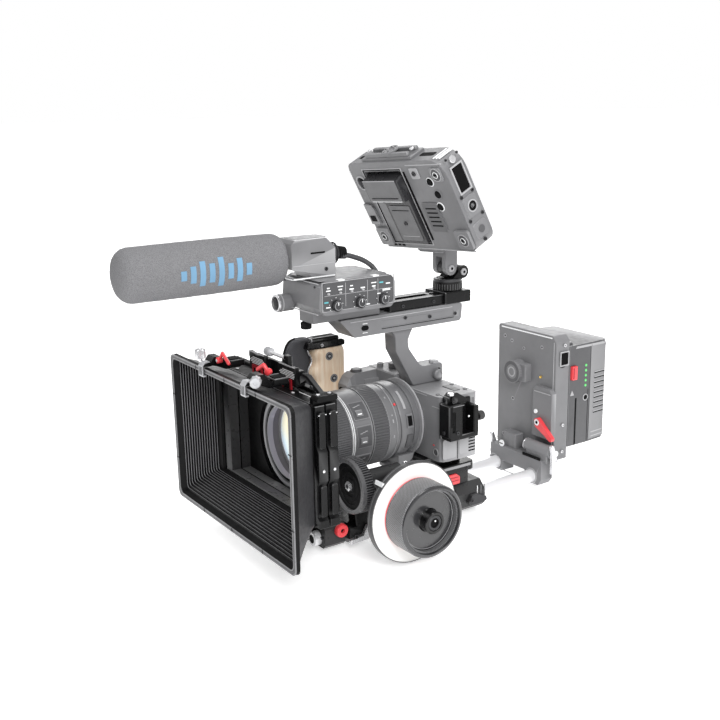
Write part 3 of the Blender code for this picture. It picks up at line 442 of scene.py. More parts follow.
class Piece:
    """Closed shapes gathered into one mesh that rides on a CAD body."""

    def __init__(self, name, body, place=None):
        self.name, self.body, self.place = name, body, place or Matrix.Identity(4)
        self.mesh, self.materials = bmesh.new(), []

    def solid(self, points, faces, material):
        if material not in self.materials:
            self.materials.append(material)
        made = [self.mesh.verts.new(self.place @ Vector(p)) for p in points]
        for face in faces:
            self.mesh.faces.new([made[i] for i in face]).material_index = self.materials.index(material)

    def prism(self, outline, axis, low, high, material, shrink=0):
        """An outline in the other two axes, drawn out along one; shrink pulls the high end's corners in."""
        middle = [sum(p[i] for p in outline) / len(outline) for i in (0, 1)]
        spot = "xyz".index(axis)
        points = []
        for level, pull in ((low, 0), (high, shrink)):
            for p in outline:
                p = [c - math.copysign(min(pull, abs(c - m)), c - m) for c, m in zip(p, middle)]
                points.append([*p[:spot], level, *p[spot:]])
        count = len(outline)
        sides = [(i, (i + 1) % count, (i + 1) % count + count, i + count) for i in range(count)]
        self.solid(points, [tuple(range(count)), tuple(range(2 * count - 1, count - 1, -1)), *sides], material)

    def box(self, material, *spans):
        """Boxes, each given as its low and high x, y and z."""
        for x0, x1, y0, y1, z0, z1 in spans:
            self.prism(rectangle(x0, x1, y0, y1), "z", z0, z1, material)

    def panel(self, axis, centre, size, low, high, material, radius=1, shrink=0):
        """A rounded rectangle standing from low to high along an axis."""
        self.prism(rounded_at(centre, size, radius, 3), axis, low, high, material, shrink)

    def frame(self, axis, centre, size, low, high, rim, material):
        """A rectangular border."""
        (cu, cv), (w, h) = centre, (size[0] / 2, size[1] / 2)
        for u0, u1, v0, v1 in ((-w, w, h - rim, h), (-w, w, -h, -h + rim),
                               (-w, -w + rim, -h + rim, h - rim), (w - rim, w, -h + rim, h - rim)):
            self.prism(rectangle(cu + u0, cu + u1, cv + v0, cv + v1), axis, low, high, material)

    def lathe(self, start, axis, profile, material, count=32, teeth=0, duty=(0, 1)):
        """A solid turned from a profile, which turned() explains."""
        count = teeth * len(duty) if teeth else count
        self.solid(turned(start, axis, profile, count, duty),
                   bridged(len(profile), count) + caps(len(profile), count), material)

    def ring(self, start, axis, inner, outer, low, high, material, count=64, teeth=0, cut=0, duty=(0, 1)):
        """A tube's wall, with teeth cut in its outside when asked."""
        count = teeth * len(duty) if teeth else count
        edge = min(0.5, (high - low) / 4, (outer - inner) / 3)
        profile = ((inner, low, 0), (outer - edge, low, 0), (outer, low + edge, cut), (outer, high - edge, cut),
                   (outer - edge, high, 0), (inner, high, 0))
        self.solid(turned(start, axis, profile, count, duty), bridged(len(profile), count, closed=True), material)

    def rings(self, start, axis, *walls, **how):
        for wall in walls:
            self.ring(start, axis, *wall, **how)

    def screws(self, axis, radius, *places, head=STEEL):
        """Cap screws standing on a face, each with a six-sided socket."""
        tall = radius * 0.55
        for at in places:
            self.lathe(at, axis, [(radius, -0.4), (radius, tall * 0.8), (radius * 0.88, tall),
                                  (radius * 0.52, tall, "hex"), (radius * 0.5, tall * 0.15, "hex")], head, 24)
            # The socket inside the head is painted near-black as painted shade.
            self.lathe(at, axis, [(radius * 0.47, tall * share, "hex") for share in (0.1, 0.25)], RECESS_SHADE_AND_BLACK, 24)

    def arc(self, start, phi, along, radii, material, steps=6):
        """A curved plate on a cylinder along y: phi is its two angles in degrees, from x up."""
        points = []
        for i in range(steps + 1):
            angle = math.radians(phi[0] + (phi[1] - phi[0]) * i / steps)
            out = AXES["x"] * math.cos(angle) + AXES["z"] * math.sin(angle)
            points += [Vector(start) + out * r + AXES["y"] * h for r, h in
                       ((radii[0], along[0]), (radii[0], along[1]), (radii[1], along[1]), (radii[1], along[0]))]
        self.solid(points, bridged(steps + 1, 4) + caps(steps + 1, 4), material)

    def arcs(self, start, *plates):
        for plate in plates:
            self.arc(start, *plate)

    def loft(self, sections, material):
        """Closed skin over a row of loops that have the same number of points."""
        shape = len(sections), len(sections[0])
        self.solid([p for section in sections for p in section], caps(*shape) + bridged(*shape), material)

    def tube(self, points, radius, material, count=12, steps=8):
        """A round line through points, on one smooth curve."""
        points = [Vector(p) for p in points]
        path = smooth([2 * points[0] - points[1], *points, 2 * points[-1] - points[-2]], steps)
        side = (path[1] - path[0]).orthogonal().normalized()
        verts = []
        for i, p in enumerate(path):
            along = (path[min(i + 1, len(path) - 1)] - path[max(i - 1, 0)]).normalized()
            side = (side - along * side.dot(along)).normalized()
            up = along.cross(side)
            verts += [p + (side * math.cos(math.tau * k / count) + up * math.sin(math.tau * k / count)) * radius
                      for k in range(count)]
        self.solid(verts, bridged(len(path), count) + caps(len(path), count), material)

    def done(self, width_mm=0.2, *hides, angle=SHARP_ANGLE):
        """Link the piece, round its edges by width_mm, and let it ride and stand for CAD nodes."""
        bmesh.ops.recalc_face_normals(self.mesh, faces=self.mesh.faces[:])
        data = bpy.data.meshes.new(self.name)
        self.mesh.to_mesh(data)
        self.mesh.free()
        data.transform(TO_WORLD)
        for material in self.materials:
            data.materials.append(material)
        data.polygons.foreach_set("use_smooth", [True] * len(data.polygons))
        obj = bpy.data.objects.new(self.name, data)
        scene.collection.objects.link(obj)
        if width_mm:
            softened(obj, width_mm, angle)
        else:
            data.set_sharp_from_angle(angle=math.radians(angle))
        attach(obj, self.body)
        if hides:
            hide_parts(*hides)
        return obj


# ---------------------------------------------------------------- matte box

RIM_DEPTH, HOOD_DEPTH, PLEATS = 5, 38, 14
HOOD_HALF, HOOD_LOW, HOOD_HIGH = 124, 16, 173.5
STAGE_HALF, STAGE_LOW, STAGE_HIGH = 95, 43, 162


def hood_section(depth):
    """Half width, bottom and top of the hood's outside at a depth behind its rim."""
    share = (depth - RIM_DEPTH) / (HOOD_DEPTH - RIM_DEPTH)
    flare = 1 - (1 - share) ** 1.5
    return (HOOD_HALF - 4 - (HOOD_HALF - 4 - STAGE_HALF) * share,
            HOOD_LOW + 4 + (STAGE_LOW - HOOD_LOW - 4) * flare,
            HOOD_HIGH - 3 - (HOOD_HIGH - 3 - STAGE_HIGH) * share)


def shell(piece, loops, material, bands=()):
    """Closed skin through rounded rectangles (depth, half width, low, high, corner).

    Each band is a material and the rings of faces it covers."""
    points = [(x, depth, z) for depth, *size in loops for x, z in rounded(*size)]
    count = len(points) // len(loops)
    first = len(piece.mesh.faces)
    piece.solid(points, bridged(len(loops), count, closed=True), material)
    piece.mesh.faces.ensure_lookup_table()
    for band, rings in bands:
        piece.materials.append(band)
        for ring in rings:
            for i in range(count):
                piece.mesh.faces[first + ring * count + i].material_index = len(piece.materials) - 1


def pulled(section, distance):
    half, low, high = section
    return half - distance, low + distance, high - distance


hood = Piece("hood_shell", "rig")
rim = (HOOD_HALF, HOOD_LOW, HOOD_HIGH)
loops = [(0.6, *pulled(rim, 0.6), 7), (RIM_DEPTH - 0.6, *rim, 7), (RIM_DEPTH, *pulled(rim, 0.8), 7)]
for i in range(7):
    depth = RIM_DEPTH + (HOOD_DEPTH - RIM_DEPTH) * i / 6
    loops.append((depth + (0.1 if i == 0 else 0), *hood_section(depth), 6))
loops.append((HOOD_DEPTH, *pulled(hood_section(HOOD_DEPTH), 4.5), 4))
step = (HOOD_DEPTH - 3 - RIM_DEPTH) / PLEATS
crests = []
for number in range(PLEATS, 0, -1):
    valley = RIM_DEPTH + step * number
    section = hood_section(valley)
    loops += [(valley, *pulled(section, 2), 4), (valley - step * 0.25, *pulled(section, 3.5), 4),
              (valley - step * 0.62, *pulled(section, 3.5), 4), (valley - step * 0.8, *pulled(section, 2), 4)]
    crests.append(len(loops) - 3)
loops += [(2.2, *pulled(rim, 6.2), 4), (0.3, *pulled(rim, 4.6), 5), (0, *pulled(rim, 3.8), 5),
          (0, *pulled(rim, 1.4), 6)]
# The crest rings get the painted highlight grey, and the outer rings 3 to 9 the lighter painted-light copy of the
# black.
shell(hood, loops, HOOD_BLACK, [(PLEAT_CREST_HIGHLIGHT, crests), (HOOD_OUTER_PAINTED_LIGHT, range(3, 10))])
hood.done(0, "hood", angle=28)

# The rim's thin lighter bands are partly the metal rim's own grey and partly a painted highlight along its edges.
trim = Piece("hood_rim_lines", "rig")
for inner, outer, depth, tone in ((0.3, 1.5, -0.25, EDGE_GREY), (1.4, 3.6, -0.1, RIM_GREY),
                                  (3.7, 4.7, -0.2, EDGE_GREY)):
    shell(trim, [(depth, *pulled(rim, outer), 6), (depth, *pulled(rim, inner), 6.5),
                 (depth + 0.9, *pulled(rim, inner), 6.5), (depth + 0.9, *pulled(rim, outer), 6)], tone)
for x in (-62, 0, 62):
    trim.box(RECESS_SHADE_AND_BLACK, (x - 0.4, x + 0.4, -0.4, 0.6, HOOD_HIGH - 4.6, HOOD_HIGH - 0.4),
        (x - 0.4, x + 0.4, -0.4, 0.6, HOOD_LOW + 0.4, HOOD_LOW + 4.6))
for x, z in ((-120.5, 60), (-120.5, 130), (120.5, 60), (120.5, 130)):
    trim.box(RECESS_SHADE_AND_BLACK, (x - 3, x + 3, -0.4, 0.6, z - 0.4, z + 0.4))
trim.done(0)

stage = Piece("matte_box_trim", "rig")
stage.screws("z", 1.9, (51, 45, 162), (-60, 45, 162), (94, 46, 169.5), (94, 58, 169.5), (0, 64, 162), head=SILVER)
stage.box(WHITE, (52, 87, 50.9, 51.5, 162, 162.5))
stage.box(EDGE_GREY, (-90, 90, 39, 39.8, 161.9, 162.4), (-88, 88, 63.2, 63.8, 161.9, 162.4))
for left, right in ((-41, -13), (18, 46)):
    for row, z in enumerate((172.9, 174.4, 175.9, 177.4, 178.9)):
        start = left + (4, 1.5, 0, 2.5, 6)[row]
        stage.box(WHITE, (start, right - (1, 0, 0, 0, 2)[row], 49.75, 50.2, z, z + 0.62))
    stage.box(PALE, (left - 1, right + 1, 49.8, 50.5, 183.5, 184.5))
    stage.screws("z", 1.8, ((left + right) / 2, 57, 180.5))
for left, right in ((-35.5, -15.5), (23.5, 41.5)):
    stage.box(RECESS_SHADE_AND_BLACK, (left + 2.2, right - 2.2, 49.5, 50.3, 162.2, 169.6))
    stage.box(DARK_RED, (left, left + 2.6, 48.7, 50.3, 162.2, 171.8),
        (right - 2.6, right, 48.7, 50.3, 162.2, 171.8), (left + 2.4, right - 2.4, 48.7, 50.3, 169, 171.8))
stage.screws(AWAY, 2, (76, 50.4, 172))
stage.screws("x", 1.6, (95, 65, 52), (95, 65, 100), (95, 65, 150))
for x in (-52, 52):
    stage.screws("y", 2.2, (x, 67, 150), (x, 67, 52))
stage.ring((0, 67, 96), "y", 49.2, 51.6, 0, 1.2, EDGE_GREY)
stage.box(EDGE_GREY, (-30, 34, 79.6, 80.2, 10.5, 12))
for x in (-38, -22, 22, 38):
    stage.screws(AWAY, 1.7, (x, 79.8, 2 if abs(x) > 30 else -6))
stage.done(0.12)

for name, body, y in (("tray_grip_front", "tray_front", 45.3), ("tray_grip_rear", "tray_rear", 57)):
    tray = Piece(name, body)
    tray.panel("x", (y, 70), (6.4, 30), 101, 102.3, BLACK, 1.5, 0.6)
    tray.panel("x", (y, 138), (6.4, 34), 101, 102.3, BLACK, 1.5, 0.6)
    tray.lathe((101.2, y, 99.5), "x", [(1.5, 0), (1.5, 0.9), (1.1, 1.3)], SILVER, 20)
    tray.box(SILVER, (101, 101.9, y - 4.4, y + 4.4, 152.6, 153.4))
    tray.done(0.12)

far_knob = Piece("bracket_knob_far_knurled", "knob_far")
far_knob.lathe((-50, 0, 179), "z", [(2, 0), (2, 3.2), (4.4, 3.4), (5.4, 4.2, 0.45), (5.4, 11.4, 0.45),
    (4.6, 12.6), (2.6, 12.9), (2.2, 12.2)], SILVER, teeth=30)
far_knob.done(0, "bracket_knob_far")
near_knob = Piece("bracket_knob_near_fluted", "knob_near")
near_axis = Vector((8.7, -6, -0.5)).normalized()
near_knob.lathe((49.8, 8, 180.5), near_axis, [(2.4, -0.2), (2.4, 1.2), (4.6, 1.5), (5.4, 2.3, 0.7),
    (5.4, 9.2, 0.7), (4.7, 10.3), (1.6, 10.4), (1.4, 9.8)], FROST, teeth=9, duty=EVEN)
near_knob.done(0, "bracket_knob_near")
pin = Piece("swing_pin_turned", "pin")
pin.lathe((-20.5, 58, 187), "x", [(3.6, 0), (4.3, 0.7, 0.35), (4.3, 9.2, 0.35), (3.4, 10), (2.2, 10.2)], FROST,
    teeth=28)
pin.lathe((-20.5, 58, 187), "x", [(2, 9.8), (2, 37.2), (1.6, 37.6)], ROD, 24)
pin.done(0, "swing_pin")
knob = Piece("matte_clamp_knob_knurled", "matte_knob")
knob.lathe((44.4, 97, 9.5), "x", [(3, 0), (6.4, 0.4), (7, 1.2, 0.5), (7, 5.2, 0.5), (6.2, 6.1),
    (2.6, 6.1, "hex"), (2.4, 3.2, "hex")], RED, teeth=36)
knob.lathe((44.4, 97, 9.5), "x", [(2.3, 3, "hex"), (2.3, 3.5, "hex")], RECESS_SHADE_AND_BLACK, 24)
knob.done(0, "matte_clamp_knob")
for side, pivot, heading, reach, thick in (("far", (-35, 13, 181.5), 0, ((0, 0), (8, 8.6), (20.5, 0.5)), 1.7),
                                           ("near", (39, 26.5, 183), 205, ((0, 0), (5, 6), (12, 1)), 2)):
    lever = Piece(f"bracket_lever_{side}_bent", f"lever_{side}")
    out = Vector((math.cos(math.radians(heading)), math.sin(math.radians(heading)), 0))
    bend = [Vector(pivot) + out * u + AXES["z"] * v for u, v in reach]
    for start, end in zip(bend, bend[1:]):
        lever.tube([start, (start + end) / 2, end], thick, RED, 14, 1)
    for at in bend[1:]:
        lever.lathe(at - AXES["z"] * thick, "z", [(0.3, 0), (thick * 0.75, thick * 0.35), (thick, thick),
            (thick * 0.75, thick * 1.65), (0.3, thick * 2)], RED, 16)
    across = out.cross(AXES["z"])
    lever.lathe(Vector(pivot) - across * 2.8, across, [(2.4, 0), (3.2, 0.6), (3.2, 5), (2.4, 5.6)], RED, 24)
    lever.lathe(Vector(pivot) + across * 2.6, across, [(1.6, 0), (1.6, 0.7), (1.1, 0.9)], SILVER, 18)
    lever.done(0, f"bracket_lever_{side}", angle=50)
for name, x in (("flag_clips_far", -47), ("flag_clips_near", 41)):
    clip = Piece(name, "rig")
    clip.prism([(-2.1, 165.6), (-2.1, 175.8), (0.7, 179.3), (8, 179.3), (8, 178.5), (1.1, 178.3), (-1.3, 175.2),
        (-1.3, 165.6)], "x", x - 4.3, x + 4.3, FROST)
    for shift in (-2.6, 0, 2.6):
        clip.box(STEEL, (x + shift - 0.35, x + shift + 0.35, -2.5, -2, 166.5, 175))
    clip.box(FROST, (x - 4.8, x + 4.8, -1.6, 2, 164.8, 166.4))
    clip.box(EDGE_GREY, (x - 9.2, x - 8, 27, 41, 177.2, 177.9), (x + 8, x + 9.2, 27, 41, 177.2, 177.9))
    clip.box(RECESS_SHADE_AND_BLACK, (x - 4.6, x + 4.6, 29, 41.4, 177.2, 178.2))
    clip.screws("z", 1.8, (x, 24.8, 175.8))
    clip.done(0.15)


# ---------------------------------------------------------------- lens and follow focus

LENS = (0, 0, 96)
focus = Piece("focus_ring_geared", "focus")
focus.ring((0, 97.7, 96), "y", 37, 42, 0, 19.3, LENS_DARK, teeth=105, cut=0.9, duty=EVEN)
focus.rings((0, 97.7, 96), "y", (41, 42.3, 0, 0.9, LENS_GREY), (41, 42.3, 18.4, 19.3, LENS_GREY))
focus.done(0, "focus_ring")
zoom = Piece("zoom_ring_ribbed", "zoom")
zoom.ring((0, 143, 96), "y", 37.8, 42, 0, 20.3, LENS_DARK, teeth=84, cut=0.8, duty=(0, 0, 1))
zoom.rings((0, 143, 96), "y", (40, 42.1, 0, 1.3, LENS_GREY), (40, 42.1, 19, 20.3, LENS_GREY))
zoom.done(0, "zoom_ring")

lens = Piece("lens_trim", "rig")
lens.rings((0, 64.3, 96), "y", (43.2, 46.8, 0, 1.6, PALE), (37.2, 38.6, 0, 6, PALE))
lens.ring((0, 66, 96), "y", 39.4, 42.6, 0, 0.6, RECESS_SHADE_AND_BLACK)
for y, radius, wide, material in ((78.8, 44.6, 0.7, PALE), (84.4, 40.9, 0.6, WHITE), (90, 40.9, 0.5, PALE),
                                  (118, 41.5, 0.8, WHITE), (120, 41.5, 0.8, WHITE), (141.6, 41.5, 0.7, PALE),
                                  (165, 40.5, 0.7, GREY), (172, 41.7, 0.8, PALE), (194, 42, 0.6, GREY),
                                  (203.6, 42.2, 2, PALE)):
    lens.ring((0, y, 96), "y", 36, radius, 0, wide, material)
lens.ring((0, 205.6, 96), "y", 30, 37, 0, 4.2, SILVER)
for phi, wide in ((42, 14), (4, 16), (-38, 14)):
    lens.arcs(LENS, ((phi - wide, phi + wide), (122.4, 140.8), (40, 42.1), LENS_GREY),
        ((phi - wide + 1.5, phi + wide - 1.5), (123.4, 139.8), (42, 42.35), LENS_DARK),
        ((phi - 9, phi), (126, 134), (42.2, 43.4), LENS_GREY),
        ((phi - 7, phi - 5.5), (127.6, 132.6), (43.2, 43.7), WHITE))
    for mark in range(3):
        lens.arc(LENS, (phi + 5 + mark, phi + 6 + mark), (126 + 3 * mark, 129 + 3 * mark), (42.2, 42.5), PALE)
for index in range(15):
    phi = -64 + index * 11
    lens.arc(LENS, (phi, phi + (0.8 if index % 3 else 3.5)), (92.4, 93.8), (40.2, 40.7), PALE)
for phi, wide in ((14, 5), (24, 2), (-8, 4), (52, 3)):
    lens.arc(LENS, (phi, phi + wide), (167.4, 168.8), (40.6, 41.5), PALE)
lens.arcs(LENS, ((38, 41.5), (174, 176.2), (40.6, 41.7), RED), ((2, 22), (184, 192), (41, 42.5), LENS_GREY),
    ((5, 19), (185.4, 190.6), (42.2, 42.8), RECESS_SHADE_AND_BLACK), ((-30, -8), (184.5, 191.5), (41, 42.4), LENS_DARK),
    ((30, 60), (183.6, 186.4), (41, 42.3), PALE))
lens.screws((0, 0, -1), 4.2, (19, 186, 49.4), head=SILVER)
lens.screws("x", 2.6, (33, 187, 57), head=SILVER)
lens.screws("x", 1.8, (33, 196, 57))
lens.done(0.12)

gear = Piece("drive_gear_toothed", "gear")
gear.ring((60.8, 96.6, 60.2), "y", 23.6, 27.7, 0, 5, CHARCOAL, count=96)
gear.ring((60.8, 101, 60.2), "y", 22, 28.3, 0, 8.8, CHARCOAL, teeth=70, cut=1.5, duty=EVEN)
gear.lathe((60.8, 99, 60.2), "y", [(4, 0), (7.4, 0), (7.8, 0.8), (10.5, 0.8), (10.9, 0), (14.5, 0), (14.9, 0.8),
    (18.4, 0.8), (18.8, 0), (23.9, 0), (23.9, 9.6), (12, 9.8)], RUBBER, 72)
gear.lathe((60.8, 96.4, 60.2), "y", [(3, 0), (4.2, 0, "hex"), (5, 0.6, "hex"), (5, 3, "hex")], SILVER, 24)
gear.lathe((60.8, 96.1, 60.2), "y", [(2, 0), (2.2, 0.2), (2.2, 1)], STEEL, 20)
gear.done(0, "ff_drive_gear")

WHEEL = (0, 143.4, 37.1)
wheel = Piece("hand_wheel_knurled", "wheel")
wheel.lathe(WHEEL, "x", [(8, 97.4), (29.3, 97.4), (30.5, 98.2), (30.5, 107.6), (33.6, 108.4), (35.2, 109.4),
    (36, 110.6, 0.35), (36, 134.6, 0.35), (35, 136.6), (33.4, 137.4), (32.2, 137.4), (31.7, 136.6),
    (31.6, 129.3), (20, 129.3), (9, 129.3)], WHEEL_BLACK, teeth=75)
wheel.ring(WHEEL, "x", 30, 36.2, 110.9, 134.4, KNURL_PAINTED_SHADE, count=120)
wheel.rings(WHEEL, "x", (29.9, 31.7, 128.6, 129.8, RECESS_SHADE_AND_BLACK), (28.6, 29.3, 129, 129.7, GREY),
    (34.6, 36.25, 109.9, 110.7, EDGE_GREY), (34.4, 36.25, 134.6, 135.2, EDGE_GREY))
wheel.lathe(WHEEL, "x", [(12.2, 129), (11, 130.4), (11, 138.8), (10.2, 139.8), (8, 139.8), (7.6, 139.2),
    (7.6, 138)], GLOSS_BLACK, 64)
wheel.ring(WHEEL, "x", 5, 7.6, 137.4, 139.3, STEEL)
wheel.lathe(WHEEL, "x", [(5.1, 137.6, "hex"), (5.1, 138.1, "hex")], RECESS_SHADE_AND_BLACK, 24)
# A small white dot inside the hub's socket: a painted glint.
wheel.lathe((138.3, 144.6, 38.6), "x", [(0.9, -0.4), (0.9, 0.1), (0.6, 0.3)], WHITE, 16)
wheel.ring(WHEEL, "x", 29.6, 35.9, 107.95, 109.3, RED)
wheel.rings(WHEEL, "x", (49.9, 50.9, 100.4, 107.9, BLACK), (50.3, 51, 102.6, 103.4, EDGE_GREY), count=128)
wheel.ring(WHEEL, "x", 26, 50.2, 99.8, 100.7, BLACK, count=96)
wheel.done(0, "ff_hand_wheel")

focus_box = Piece("follow_focus_trim", "rig")
focus_box.prism([(118, 46), (124, 52), (107.6, 75.4), (104.4, 72.2)], "x", 93, 97, BLACK)
focus_box.prism([(107.6, 75.4), (104.4, 72.2), (105.6, 76.2)], "x", 96.5, 108.4, WHITE)
focus_box.screws("x", 1.7, (90, 131, 26), (90, 131, 49), (90, 156, 26), (90, 156, 49))
focus_box.screws("z", 1.7, (54, 132, 53), (54, 154, 53), (82, 132, 53), (82, 154, 53))
focus_box.box(EDGE_GREY, (48, 88, 143, 144, 52.8, 53.4))
focus_box.screws(AWAY, 3, (38, 127, 37))
focus_box.done(0.12)


# ---------------------------------------------------------------- grip, strap and camera

GRIP_LOW, GRIP_TALL, GRIP_FRONT, GRIP_BACK = 64.4, 101.6, 138.8, 180.8
GRIP_MIDDLE, GRIP_WIDE = -75.95, 25.3
FINGER_LOW, FINGER_PITCH, FINGER_DEPTH = 71, 25.5, 2.6


def finger_wave(z):
    """How far the grip's front edge lies behind its mean at a height, most where a finger rests."""
    return FINGER_DEPTH * math.sin((z - FINGER_LOW) / FINGER_PITCH * math.tau)


grip = Piece("wood_grip_carved", "rig")
sections = []
for step in range(41):
    share = step / 40
    z = GRIP_LOW + GRIP_TALL * share
    front = GRIP_FRONT + finger_wave(z) * min(1, (1 - share) * 6) + 6 * max(0, share - 0.82) ** 1.2
    thin = 2.4 * (1 - min(1, share * 14)) ** 2 + 2.4 * (1 - min(1, (1 - share) * 14)) ** 2
    section = rounded_at((GRIP_MIDDLE, (front + GRIP_BACK) / 2),
                         (GRIP_WIDE - 2 * thin, GRIP_BACK - front - 2 * thin), 8.5 - thin, 4)
    sections.append([(x, y, z) for x, y in section])
grip.loft(sections, WOOD)
grip.done(0, "wood_grip", angle=50)
bolts = Piece("wood_grip_bolts", "rig")
for y, z in ((157.5, 157.5), (162.9, 132), (164, 90)):
    bolts.ring((-63.4, y, z), "x", 3, 4.6, 0, 0.6, DARK, count=28)
    bolts.lathe((-63.4, y, z), "x", [(3, -1), (3, 0.5), (2.3, 0.8)], STEEL, 24)
    bolts.lathe((-63.4, y, z), "x", [(1.5, 0.6, "hex"), (1.4, 1.1, "hex")], PALE, 24)
bolts.done(0)
rail = Piece("grip_rail_trim", "rig")
rail.box(SILVER, (-83, -69, 139.4, 140, 166.8, 177.7))
rail.box(STEEL, (-82, -70, 142, 172, 177.4, 177.9))
rail.box(RECESS_SHADE_AND_BLACK, (-79, -73, 144, 170, 177.7, 178.2))
rail.screws("z", 2.2, (-76, 176, 174), head=SILVER)
rail.screws("x", 1.8, (-65.9, 150, 170), head=SILVER)
rail.done(0.15)

strap = Piece("hand_strap_padded", "rig")
outline = [(178, 128, 137), (176.6, 122, 142), (173, 117, 145), (167, 113.6, 145),
           (159, 111.4, 145), (150, 110.4, 145), (140, 110.2, 145), (130, 110.6, 145),
           (120, 111.8, 145), (110, 114, 145), (101, 117.4, 145), (93, 122, 145),
           (87, 128, 145), (84, 134, 143)]
rows = smooth([Vector(p) for p in (outline[0], *outline, outline[-1])], 5)
sections = []
for i, (z, front, back) in enumerate(rows):
    crown = min(1, 0.35 + 0.65 * math.sin(math.pi * min(0.5, min(i, len(rows) - 1 - i) / 16)))
    sections.append([])
    for k in range(36):
        angle = math.tau * k / 36
        across = math.copysign(abs(math.cos(angle)) ** 0.75, math.cos(angle))
        deep = math.copysign(abs(math.sin(angle)) ** 0.6, math.sin(angle))
        y = (front + back) / 2 + across * (back - front) / 2
        sections[-1].append(Vector((-82 + 7.5 * crown * deep, y, z)))
strap.loft(sections, WEBBING)
strap_piece = strap.done(0, "hand_strap", angle=70)
seams = Piece("hand_strap_binding", "rig")
seams.tube([section[18] for section in sections[2:-2:5]], 1.5, RUBBER, 10, 4)
edge = []
for step in range(13):
    z = 100 + 70 * step / 12
    edge.append((-71.5, 137.6 + finger_wave(z), z))
seams.tube(edge, 1.1, SILVER, 10, 4)
seams.done(0, angle=60)

body = Piece("camera_body_trim", "rig")
body.panel("x", (221, 74), (18, 22), 64.8, 65.5, PALE, 2, 0.4)
body.box(RECESS_SHADE_AND_BLACK, (64.7, 65.25, 231.4, 232.2, 61, 128))
for index in range(9):
    body.box(RECESS_SHADE_AND_BLACK, (64.7, 65.3, 246.6, 255.4, 66 + 3.4 * index, 67.4 + 3.4 * index))
body.panel("x", (239.5, 80), (12, 30), 64.8, 65.4, PALE, 2, 0.4)
body.panel("x", (239.5, 113), (12, 24), 64.8, 65.4, GREY, 2, 0.4)
body.lathe((64.5, 217, 125), "x", [(4.2, 0), (4.2, 1.6), (3.4, 2.2)], PALE, 24)
for index in range(5):
    body.box(DARK, (64.6, 67.2, 212, 222, 121 + 1.9 * index, 122 + 1.9 * index))
body.ring((65, 239, 97), "x", 1.8, 2.8, 0, 0.5, STEEL, count=20)
body.ring((56.5, 209.9, 70), AWAY, 3.3, 4.4, 0, 0.7, PALE, count=28)
body.lathe((56.5, 209.9, 70), AWAY, [(3.2, -0.5), (3.2, 0.4), (2.4, 0.7)], DARK, 28)
body.box(RED, (51.6, 54, 209.6, 210.2, 76.4, 77.6))
body.box(PALE, (50, 61.5, 209.7, 210.3, 118, 118.8), (-41, 41, 209.5, 210.4, 127.2, 128))
for x, y, z in ((-14, 254, 130), (30, 252, 130), (52, 252, 130), (52, 216, 130)):
    body.lathe((x, y, z - 0.3), "z", [(2.4, 0), (2.4, 0.9), (1.9, 1.2)], DARK, 20)
body.panel("z", (40, 243), (22, 9), 129.8, 130.7, DARK, 2, 0.3)
body.panel("z", (-36, 231), (40, 1.2), 139.3, 139.9, PALE, 0.5)
body.ring((-48, 214, 140), "z", 2.2, 3.7, 3.4, 4.4, PALE, count=24)
for index in range(10):
    a = math.tau * index / 10
    x, y = -34 + 7.4 * math.cos(a), 222 + 7.4 * math.sin(a)
    body.box(WHITE, (x - 0.3, x + 0.3, y - 0.3, y + 0.3, 139.3, 139.75))
for x in (-60, -56, -52):
    body.box(RECESS_SHADE_AND_BLACK, (x, x + 1.2, 238, 246, 139.2, 139.8))
body.panel("y", (-52, 100), (22, 30), 257.8, 258.7, DARK, 2)
for x, z, r in ((-52, 106, 4.5), (-52, 92, 2.2), (-45, 118, 2.6), (-58, 118, 2.6), (56, 120, 2.6), (56, 96, 3.4)):
    body.lathe((x, 258.3, z), "y", [(r, 0), (r, 1.2), (r * 0.8, 1.6)], GREY, 24)
body.panel("y", (0, 140), (24, 10), 249.5, 251, RECESS_SHADE_AND_BLACK, 2.5)
body.panel("x", (190, 112), (26, 38), -61.9, -61.1, RUBBER, 4)
body.panel("y", (-53, 96), (13, 54), 166.5, 167.3, RUBBER, 3)
body.done(0.15)

dial = Piece("exposure_dial_knurled", "dial")
dial.lathe((-34, 222, 139.8), "z", [(4.9, 0), (5.6, 0.5, 0.3), (5.6, 5, 0.3), (4.9, 5.9), (3.2, 6)], DARK,
    teeth=32)
dial.done(0, "exposure_dial")
screen = Piece("rear_screen_face", "screen")
screen.panel("y", (5, 97), (78, 50), 266.2, 266.8, SCREEN, 2)
screen.done(0.1)

bracket = Piece("cable_bracket_trim", "rig")
bracket.screws("z", 3.4, (75, 214, 135.6), head=SILVER)
bracket.lathe((81.8, 232.5, 111.5), "x", [(1, -0.3), (1, 0.3), (0.7, 0.5)], WHITE, 16)
bracket.box(EDGE_GREY, (81.6, 82.25, 212, 226, 124, 124.8))
bracket.box(RECESS_SHADE_AND_BLACK, (81.6, 82.25, 209.5, 211, 103, 124))
bracket.screws("x", 1.9, (82, 218, 96))
bracket.screws("x", 1.6, (82, 212, 130))
bracket.box(EDGE_GREY, (66, 81, 206.6, 207.3, 134.4, 135.2))
bracket.screws(AWAY, 1.9, (74, 207, 96))
bracket.done(0.12)
knob = Piece("cable_clamp_knob_knurled", "cable_knob")
knob.lathe((75, 246.3, 107), "y", [(2, 0), (2, 3), (4.2, 3.4), (5, 4.2, 0.5), (5, 9.4, 0.5), (4.2, 10.5),
    (2.2, 10.6)], BLACK, teeth=20)
knob.lathe((75, 246.3, 107), "y", [(1.9, 10.2), (1.9, 10.9)], SILVER, 20)
knob.done(0, "cable_clamp_knob")

